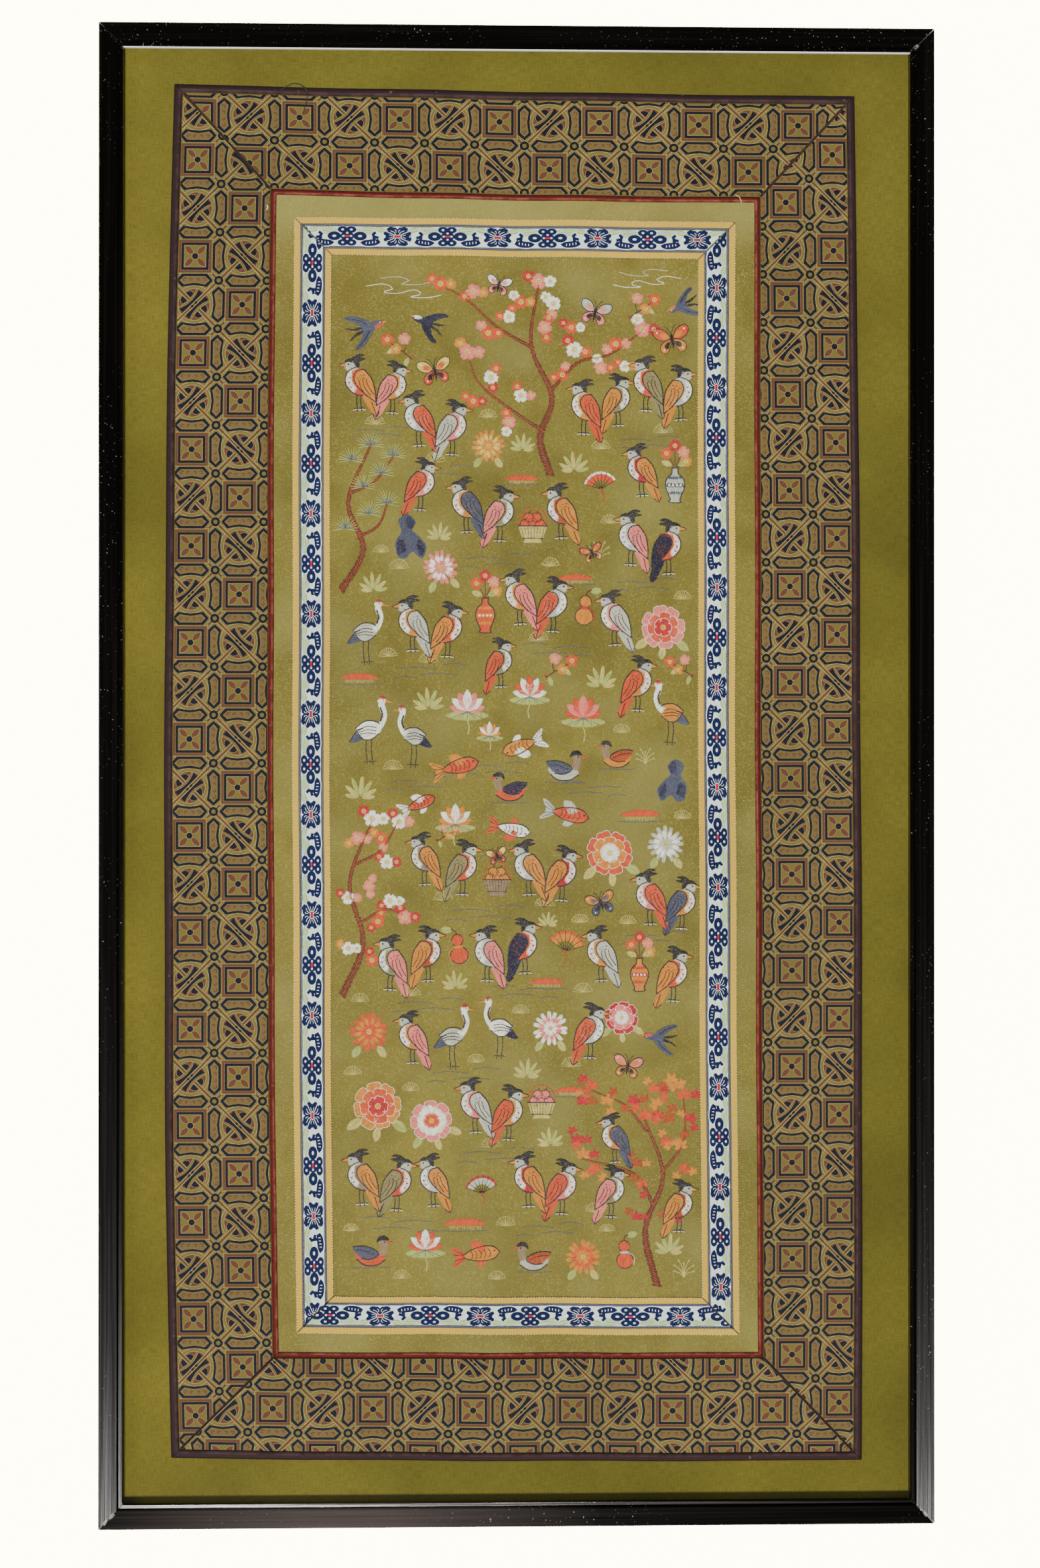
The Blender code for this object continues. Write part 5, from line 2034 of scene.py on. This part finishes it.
GARDEN = {
    # kind: (x, y, size, turn, whether it faces left, and its flosses). The last numbers may be left out.
    "cloud": (
        (-78, 326, 1, 2), (88, 333, 0.9, -3, 1),
    ),
    "swallow": (
        (-98, 302, 0.95, 20, "slate", "coral"), (-64, 306, 0.85, 155, "navy", "white"),
        (108, 316, 0.8, 200, "slate", "golden"), (92, -176, 0.85, 170, "slate", "coral"),
    ),
    "bird": (
        (-13, 74, 0.9, 2, "olive", "coral"), (-106, 262, 1, 2, 1, "coral", "golden"),
        (-85, 259, 0.95, -3, "golden", "pink"), (-66, 238, 1, 3, 1, "silver", "coral"),
        (-45, 232, 1, -2, "pink", "silver"), (46, 246, 1, -2, 1, "golden", "coral"),
        (66, 251, 0.95, 2, "beige", "golden"), (88, 262, 1, -2, 1, "coral", "olive"),
        (108, 256, 1, 3, "silver", "golden"), (84, 204, 0.95, 4, 1, "red", "golden"),
        (-66, 194, 0.95, -4, "pink", "coral"), (-34, 180, 1, 3, 1, "golden", "slate"),
        (-13, 174, 1, -2, "olive", "pink"), (30, 176, 1, 2, 1, "terracotta", "golden"),
        (78, 158, 1, -3, 1, "silver", "pink"), (100, 152, 1, 2, "coral", "navy"),
        (-70, 100, 1, 2, 1, "golden", "silver"), (-48, 96, 1, -3, "coral", "golden"),
        (2, 118, 1, 3, 1, "golden", "pink"), (23, 113, 1, -2, "silver", "coral"),
        (66, 104, 1, 2, 1, "pink", "silver"), (80, 60, 1, -2, "golden", "coral"),
        (-62, -58, 0.95, 2, 1, "beige", "golden"), (-38, -64, 1, -2, "coral", "olive"),
        (8, -64, 1, 3, 1, "silver", "golden"), (29, -68, 1, -3, "red", "golden"),
        (90, -84, 1, 2, 1, "pink", "coral"), (110, -88, 0.95, -3, "golden", "slate"),
        (-84, -128, 1, -3, 1, "olive", "pink"), (-62, -122, 1, 2, "terracotta", "golden"),
        (-19, -122, 1, -2, 1, "silver", "pink"), (3, -117, 1, 3, "coral", "navy"),
        (57, -122, 1, 2, 1, "golden", "silver"), (104, -136, 1, -2, "coral", "golden"),
        (-70, -178, 0.95, 2, 1, "golden", "pink"), (48, -174, 1, -2, "silver", "coral"),
        (-28, -224, 1, 3, 1, "pink", "silver"), (-7, -229, 1, -2, "golden", "coral"),
        (-104, -272, 1, 2, 1, "beige", "golden"), (-82, -276, 1, -3, "coral", "olive"),
        (-56, -274, 0.95, 2, 1, "silver", "golden"), (8, -274, 1, 2, 1, "red", "golden"),
        (29, -279, 1, -2, "pink", "coral"), (66, -246, 0.9, 3, 1, "golden", "slate"),
        (62, -282, 0.95, -2, "olive", "pink"), (108, -292, 0.95, -2, "terracotta", "golden"),
    ),
    "butterfly": (
        (104, 294, 0.85, 10, "coral", "golden"), (-13, 330, 0.6, -12, "white", "pink"),
        (-14, -54, 0.5, 14, "lemon", "coral"), (-56, 272, 0.8, 12, "lemon", "coral"),
        (52, 312, 0.75, -14, "silver", "pink"), (50, 150, 0.55, 20, "coral", "golden"),
        (56, -86, 0.7, 16, "golden", "slate"), (74, -196, 0.7, -10, "pink", "golden"),
    ),
    "grass": (
        (-20, 241, 0.9), (62, 170, 0.9), (-92, 150, 0.8), (22, 141, 0.9), (111, 119, 0.9), (-87, 80, 0.9),
        (70, 29, 0.9), (-84, 4), (111, -29, 0.9), (42, -99, 0.9), (74, -100, 0.9), (-106, -152, 0.9),
        (2, -160, 0.9), (-28, -193, 0.9), (-111, -201, 0.9), (-72, -212, 0.9), (-8, -303), (-112, -306, 0.8),
        (60, -307, 0.8), (-78, -338, 0.9), (-14, -339, 0.9), (-96, 236), (-56, 211), (56, 220), (98, 231),
        (-80, 139), (-60, 76), (14, 91), (-50, -84), (18, -88), (-72, -148), (44, -146), (36, -196),
        (-18, -250), (52, -294),
    ),
    "ground": (
        (-92, 232), (-52, 206, 1.1), (88, 226, 1.2), (-14, 146, 1.3), (86, 130, 1.2), (-58, 72, 1.3),
        (26, 86, 1.2, 0, 1), (-14, 6, 1.2), (50, -8, 1.2, 0, 1), (-66, -4, 1.2), (-22, -91, 1.4),
        (92, -108, 1.2), (-60, -153, 1.3), (4, -144, 1.2, 0, 1), (-36, -200, 1.3), (-14, -254, 1.4),
        (-80, -300, 1.4, 0, 1), (22, -304, 1.2),
    ),
    "aster": (
        (-20, 222, 0.8, "golden", "lemon"), (-52, 140, 0.85, 10, "pink", "white"),
        (100, -46, 0.9, "silver", "white"), (-100, -172, 0.95, "coral", "golden"),
        (22, -170, 0.85, "white", "pink"), (44, -324, 0.85, "golden", "coral"),
    ),
    "vase": (
        (106, 196, 0.95, "silver", "slate"), (-22, 108, 0.95, "coral", "golden"),
        (82, -134, 0.9, "golden", "red"),
    ),
    "fan": (
        (56, 193, 0.85, 8, "coral", "white"), (32, -118, 0.95, -10, "golden", "coral"),
        (-24, -281, 0.85, 6, "silver", "red"),
    ),
    "rock": (
        (-72, 160, 1.05), (104, -4, 1, 0, 1),
    ),
    "basket": (
        (10, 166, 0.95, "straw", "coral"), (-14, -72, 0.9, "beige", "golden"),
        (16, -222, 0.9, "straw", "pink"),
    ),
    "tuft": (
        (55, 146, 0.9), (86, 8, 0.8), (112, -338, 0.9, 0, 1),
    ),
    "wader": (
        (-102, 96, "silver", "slate"), (-100, 30, 1.05, "white", "slate"),
        (-70, 26, 0.95, 0, 1, "silver", "navy"), (103, 42, 1, 0, 1, "golden", "slate"),
        (-44, -176, "silver", "slate"), (-12, -170, 0.95, 0, 1, "white", "navy"),
    ),
    "gourd": (
        (45, 112, 0.95, -6, "golden", "red"), (-40, -116, 0.95, 8, 1, "coral", "golden"),
        (72, -322, 0.9, 4, "coral", "silver"),
    ),
    "peony": (
        (70, -163, 0.75, 0, 1, "red", "pink", "white"), (98, 100, 0.95, "pink", "coral", "red"),
        (62, -52, 1, 8, "coral", "golden", "white"), (-94, -222, 1.05, "golden", "coral", "red"),
        (-58, -232, 0.9, 14, 1, "pink", "white", "coral"),
    ),
    "lotus": (
        (-19, 30, 0.6, "golden", "white"), (-34, 48, 0.95, "pink", "white"),
        (8, 58, 0.9, 0, 1, "white", "coral"), (44, 44, "coral", "pink"),
        (-42, -28, 0.9, 0, 1, "golden", "white"), (-62, -314, 0.9, "coral", "white"),
    ),
    "koi": (
        (-66, -19, 0.8, 24, "coral", "white"), (-40, 6, 1, 14, "coral", "golden"),
        (2, 20, 0.95, -160, "golden", "white"), (-4, -36, 0.9, 168, 1, "white", "coral"),
        (34, -26, 1, -12, "coral", "silver"), (-26, -322, 1, 8, "golden", "coral"),
    ),
    "duck": (
        (32, 4, "slate", "silver"), (66, 12, 0.9, 0, 1, "terracotta", "golden"),
        (-6, -10, 0.95, 0, 1, "navy", "coral"), (-98, -322, "slate", "coral"),
        (10, -326, 0.95, 0, 1, "terracotta", "silver"),
    ),
    "fern": (
        (3, 219, 0.85), (38, 205, 1.0, 0, 1), (-53, 159, 0.85), (-97, 124, 0.95, 0, 1), (56, 60, 1.05),
        (-60, 45, 1.05, 0, 1), (-106, -15, 1.1), (20, -101, 0.7), (-42, -143, 0.9, 0, 1), (6, -203, 0.95),
        (22, -249, 0.9, 0, 1), (102, -322),
    ),
    "mound": (
        (2, 200, 0.7), (38, 133, 0.75), (-106, 66, 0.8, 0, 1), (82, -26, 0.85), (20, -139, 0.75, 0, 1),
        (36, -212, 0.7), (-36, -301, 0.9),
    ),
    "twig": (
        (84, 315, 0.85, 4), (-80, 287, 0.85, -6, 1), (110, 72, 0.75, 0, 1), (28, 72, 0.85), (-48, -40, 0.6),
    ),
}

PLUM_FLOSSES = ("coral", "pink", "golden", "white", "red")
MAPLE_FLOSSES = ("coral", "golden", "terracotta", "red")
PLUM_BOUGHS = (
    (((22, 202), (15, 228), (23, 255), (9, 290), (14, 332)), 5.0, 1.2),
    (((21, 258), (40, 278), (62, 284), (84, 300)), 2.6, 0.8),
    (((10, 288), (-14, 302), (-34, 320), (-52, 330)), 2.2, 0.8),
    (((17, 232), (-4, 246), (-26, 264), (-34, 284)), 2.2, 0.7),
)
PLUM_BLOSSOMS = (
    (84, 301, 1.0, 0, "pink"), (66, 291, 0.9, 30, "coral"), (56, 275, 0.85, 0, "pink"),
    (38, 287, 1.0, 50, "white"), (30, 270, 0.8, 10, "coral"), (14, 333, 1.0, 0, "pink"),
    (24, 318, 0.9, 20, "white"), (2, 319, 0.85, 0, "coral"), (18, 302, 0.9, 40, "pink"),
    (-6, 309, 0.8, 10, "white"), (-20, 298, 0.9, 0, "coral"), (-30, 326, 0.9, 30, "pink"),
    (-52, 331, 0.9, 0, "coral"), (-34, 285, 1.0, 0, "pink"), (-18, 268, 0.9, 40, "white"),
    (-30, 252, 0.8, 0, "coral"), (-6, 238, 0.85, 15, "pink"), (2, 256, 0.85, 0, "white"),
    (36, 302, 0.8, 0, "coral"), (72, 276, 0.7, 0, "white"),
)
WHITE_PLUM_BOUGHS = (
    (((-118, -148), (-104, -112), (-113, -72), (-98, -30)), 4.4, 1.2),
    (((-107, -100), (-90, -90), (-76, -94)), 2.2, 0.8),
    (((-110, -60), (-92, -50), (-80, -30)), 2.0, 0.7),
)
WHITE_PLUM_BLOSSOMS = (
    (-98, -29, 1.0, 0, "white"), (-108, -42, 0.85, 30, "pink"), (-80, -31, 0.9, 0, "white"),
    (-92, -42, 0.8, 20, "coral"), (-88, -58, 0.85, 0, "white"), (-76, -95, 0.9, 0, "pink"),
    (-86, -84, 0.85, 30, "white"), (-94, -98, 0.8, 10, "coral"), (-114, -82, 0.8, 0, "white"),
    (-100, -74, 0.75, 40, "pink"), (-114, -116, 0.8, 0, "white"), (-98, -124, 0.8, 0, "coral"),
)
MAPLE_BOUGHS = (
    (((94, -344), (86, -306), (98, -270), (86, -232)), 5.0, 1.3),
    (((91, -288), (78, -268), (44, -258)), 2.2, 0.8),
    (((97, -268), (112, -246), (112, -218)), 2.0, 0.7),
    (((87, -240), (72, -222), (50, -212)), 1.8, 0.7),
)
MAPLE_LEAVES = (
    (86, -230, 1.1, 0, "coral"), (94, -222, 1.0, 40, "golden"), (78, -220, 1.0, -20, "red"),
    (102, -232, 1.0, 10, "terracotta"), (112, -216, 1.1, 0, "coral"), (104, -206, 1.0, 30, "golden"),
    (116, -232, 0.9, -30, "red"), (110, -250, 1.0, 10, "golden"), (100, -248, 0.9, 0, "coral"),
    (50, -210, 1.0, 20, "coral"), (60, -220, 1.0, -10, "golden"), (44, -220, 0.9, 0, "red"),
    (44, -256, 1.0, 0, "golden"), (52, -266, 1.0, 30, "coral"), (40, -246, 0.9, 0, "red"),
    (80, -262, 0.9, 0, "terracotta"), (84, -276, 0.9, 20, "coral"), (112, -266, 0.9, -20, "coral"),
    (102, -300, 0.8, 0, "golden"), (80, -298, 0.8, 0, "red"), (92, -212, 0.9, 0, "coral"),
)
PINE_BOUGHS = (
    (((-119, 124), (-104, 152), (-114, 184), (-99, 222)), 4.6, 1.2),
    (((-108, 160), (-94, 168), (-88, 182)), 2.2, 0.8),
    (((-112, 190), (-96, 198), (-84, 214)), 2.0, 0.8),
)
PINE_FANS = (
    (-99, 222), (-112, 212), (-84, 215), (-92, 203), (-88, 183), (-100, 176), (-116, 166), (-104, 194),
)


def embroider_garden():
    """Works every motif of the garden into the lists of stitches."""
    tree(PLUM_BOUGHS, PLUM_BLOSSOMS, blossom, PLUM_FLOSSES)
    tree(WHITE_PLUM_BOUGHS, WHITE_PLUM_BLOSSOMS, blossom, PLUM_FLOSSES)
    tree(MAPLE_BOUGHS, MAPLE_LEAVES, maple_leaf, MAPLE_FLOSSES)
    tree(PINE_BOUGHS)
    for x, y in PINE_FANS:
        spot = Spot(x, y, 1.25)
        spokes(spot, (0, 0), 0.3, 7.0, -10, 190, 15, "pale green", 0.6, 3)
        spokes(spot, (0, 0), 0.3, 4.6, 0, 180, 11, "slate", 0.5, 4)
    for kind, rows in GARDEN.items():
        for row in rows:
            numbers = [value for value in row if not isinstance(value, str)]
            KINDS[kind](Spot(*numbers), *row[len(numbers):])


# ---------------------------------------------------------------- the stitches as pieces

# A stitch's three rows of points: share along it, share of its width, share of its rise.
STITCH_ROWS = ((0.0, 0.62, 0.0), (0.5, 1.0, 1.0), (1.0, 0.62, 0.0))
STITCH_SIDES = (-1.0, 0.0, 1.0)
STITCH_QUADS = np.array([(0, 3, 4, 1), (1, 4, 5, 2), (3, 6, 7, 4), (4, 7, 8, 5)])
STITCH_POINTS = len(STITCH_ROWS) * len(STITCH_SIDES)
STITCH_FOOT = 0.05
# Added height in millimetres and share of the rise, on a stitch's middle line and along its edges.
STITCH_CROWN = (0.10, 1.0)
STITCH_EDGE = (-0.02, 0.55)
# How far each stitch's own tone moves its fibres, along and across, so that no two look alike.
TONE_SHIFT = (40, 17)
STRAY_HALF_WIDTH = 0.28
STRAY_RISE = 0.2
STRAY_GAP = 0.1
STRAY_SHADE = 0.8
STRAY_THREADS = (
    ("black", ((-160.2, 460.0), (-155.0, 463.0), (-150.4, 464.7), (-145.2, 463.2), (-141.8, 459.4),
               (-142.2, 452.0), (-144.4, 445.0))),
    ("white", ((-168.9, 379.9), (-168.1, 381.3), (-168.4, 383.2))),
    ("straw", ((146.8, 392.0), (149.6, 390.2), (151.0, 386.4))),
)


def stitch_mesh(name, rows):
    """One low arched strand for each stitch: nine points, lowest at its ends and along its edges."""
    start, end, width, level, rise, tone = rows[:, :2], rows[:, 2:4], *rows[:, 4:].T
    way = end - start
    length = np.linalg.norm(way, axis=1)
    side = left_of(unit_steps(way))
    count = len(rows)
    points = np.zeros((count, STITCH_POINTS, 3))
    thread = np.zeros((count, STITCH_POINTS, 2))
    number = 0
    for along, wide, lift in STITCH_ROWS:
        for across in STITCH_SIDES:
            flat = start + way * along + side * (width * 0.5 * wide * across)[:, None]
            crown, share = STITCH_CROWN if across == 0 else STITCH_EDGE
            height = STITCH_FOOT + level + crown + rise * lift * share
            points[:, number, :2] = flat
            points[:, number, 2] = satin_top(flat[:, 0], flat[:, 1]) + height
            thread[:, number, 0] = length * along + tone * TONE_SHIFT[0]
            thread[:, number, 1] = across * width * 0.5 + tone * TONE_SHIFT[1]
            number += 1
    quads = (np.arange(count)[:, None, None] * STITCH_POINTS + STITCH_QUADS[None]).reshape(-1, 4)
    mesh = cloth_mesh(name, points.reshape(-1, 3), quads, *thread.reshape(-1, 2).T)
    shade_points(mesh, np.repeat(tone, STITCH_POINTS))
    return mesh


def add_embroidery():
    """Every floss colour as one piece of stitches on the satin."""
    embroider_garden()
    pieces = []
    for name, lists in WORK.items():
        piece_name = "embroidery_" + name.replace(" ", "_")
        mesh = stitch_mesh(piece_name, np.vstack(lists))
        pieces.append(show(piece_name, mesh, [floss_material(name)], "silk_floss"))
    return pieces


def add_stray_threads():
    """Loose thread ends that lie across the seams."""
    high = max(STRIPS[f"{kind}_top"].top for kind in ("binding", "brocade", "piping")) + STRAY_GAP
    for number, (floss, path) in enumerate(STRAY_THREADS, 1):
        path = smooth_path(path)
        side = left_of(unit_steps(np.gradient(path, axis=0))) * STRAY_HALF_WIDTH
        points = np.zeros((len(path), 3, 3))
        for column, (across, rise) in enumerate(((-1, 0.0), (0, STRAY_RISE), (1, 0.0))):
            points[:, column, :2] = path + side * across
            points[:, column, 2] = high + rise
        name = f"stray_thread_{number}"
        along = np.repeat(np.arange(len(path)), 3)
        across = np.tile((-STRAY_HALF_WIDTH, 0, STRAY_HALF_WIDTH), len(path))
        mesh = cloth_mesh(name, points.reshape(-1, 3), grid_quads(len(path), 3), along, across)
        shade_points(mesh, np.full(len(along), STRAY_SHADE))
        show(name, mesh, [floss_material(floss)], "silk_floss")


# ---------------------------------------------------------------- hard parts, floor, light, camera

FLOOR_REACH = 4000.0
FLOOR_DROP = -0.2
FLOOR_COLOUR = (0.86, 0.84, 0.80)
# What the floor gives off to the eye, and the dim glow that shines back from the lacquer and the glass.
FLOOR_SEEN = (1.0, 0.87, 0.52)
FLOOR_MIRRORED = (0.06, 0.06, 0.05)
FLOOR_GLOW = 14.0
SUN_STRENGTH = 5.95
SUN_TILT = (19.0, -3.0, 0.0)
SUN_SOFTNESS = 9.0
SUN_COLOUR = (1.0, 0.985, 0.95)
SIDE_BOX = (0.6, 1.6)
TOP_BOX = (1.2, 0.5)
# name: place in metres, size, power, colour
FILLS = {
    "left fill": ((-1.9, 0.1, 1.5), SIDE_BOX, 23.4, (0.97, 0.98, 1.0)),
    "right fill": ((1.9, 0.1, 1.5), SIDE_BOX, 5.4, (1.0, 1.0, 1.0)),
    "top fill": ((0.0, 2.0, 1.7), TOP_BOX, 9.0, (0.92, 0.95, 1.0)),
}
WORLD_COLOUR = (0.95, 0.97, 1.0)
WORLD_STRENGTH = 0.09
CAMERA_LENS = 68.6
CAMERA_SENSOR = 36.0
CAMERA_CLIP = (0.05, 50.0)
CAMERA_PLACE = (-0.0637, -0.0093, 2.0199)
CAMERA_TURN = (0.106, -1.857, 0.011)


def finish_hard_parts():
    """Rails, glass and board keep their meshes and get their finishes."""
    for side in SIDES:
        dress("rail_" + side, lacquer_material(side))
    dress("glass", glass_material())
    dress("backing_board", hardboard_material())


def dress(node, made):
    mesh = frame["nodes"][node].data
    mesh.materials.clear()
    mesh.materials.append(made)


def add_floor():
    """A plain pale floor under the frame."""
    reach = FLOOR_REACH
    points = [(-reach, -reach, FLOOR_DROP), (reach, -reach, FLOOR_DROP), (reach, reach, FLOOR_DROP),
              (-reach, reach, FLOOR_DROP)]
    mesh = new_mesh("floor", points, np.arange(4), np.array([4]))
    made, tree, shader = material("pale floor", 0.9, FLOOR_COLOUR)
    mirrored = Value(tree, tree.nodes.new("ShaderNodeLightPath").outputs["Is Glossy Ray"])
    feed(tree, shader.inputs["Emission Color"], mix(mirrored, FLOOR_SEEN, FLOOR_MIRRORED))
    shader.inputs["Emission Strength"].default_value = FLOOR_GLOW
    mesh.materials.append(made)
    floor = link("floor", mesh)
    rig.stage(floor)


def add_fill(name, place, size, power, colour):
    """A weak soft box that points at the middle of the picture."""
    light = bpy.data.lights.new(name, "AREA")
    light.shape = "RECTANGLE"
    light.size, light.size_y = size
    light.energy = power
    light.color = colour
    lamp = link(name, light)
    lamp.location = place
    x, y, z = place
    lamp.rotation_euler = (math.acos(z / math.dist(place, (0, 0, 0))), 0, math.atan2(-x, y) + math.pi)


def add_lights():
    """A soft key from below the picture, weak fills from the sides, and a dim room."""
    sun = bpy.data.lights.new("key light", "SUN")
    sun.energy = SUN_STRENGTH
    sun.angle = math.radians(SUN_SOFTNESS)
    sun.color = SUN_COLOUR
    link("key light", sun).rotation_euler = [math.radians(v) for v in SUN_TILT]
    for name, (place, size, power, colour) in FILLS.items():
        add_fill(name, place, size, power, colour)
    world = bpy.data.worlds.new("room")
    world.use_nodes = True
    back = world.node_tree.nodes["Background"]
    back.inputs["Color"].default_value = (*WORLD_COLOUR, 1.0)
    back.inputs["Strength"].default_value = WORLD_STRENGTH
    bpy.context.scene.world = world


def add_camera():
    """The camera that the viewer stands at: straight above, turned by under two degrees."""
    data = bpy.data.cameras.new("camera")
    data.lens = CAMERA_LENS
    data.sensor_width = CAMERA_SENSOR
    data.clip_start, data.clip_end = CAMERA_CLIP
    camera = link("camera", data)
    camera.location = CAMERA_PLACE
    camera.rotation_euler = [math.radians(v) for v in CAMERA_TURN]
    bpy.context.scene.camera = camera


# ---------------------------------------------------------------- the whole piece

STRIPS = {f"{kind}_{side}": read_strip(f"{kind}_{side}", side)
          for kind in ("binding", "brocade", "piping", "ribbon") for side in SIDES}

finish_hard_parts()
add_mat_cloth()
satin, satin_facts = add_satin()
add_tape("binding")
add_brocade()
add_tape("piping")
add_ribbon()
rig.sheet(satin, with_pieces=add_embroidery(), **satin_facts)
add_stray_threads()
add_floor()
add_lights()
add_camera()

SIZES["final_box"] = box_list(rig.bounds())
with open("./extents.json", "w") as size_file:
    json.dump(SIZES, size_file)
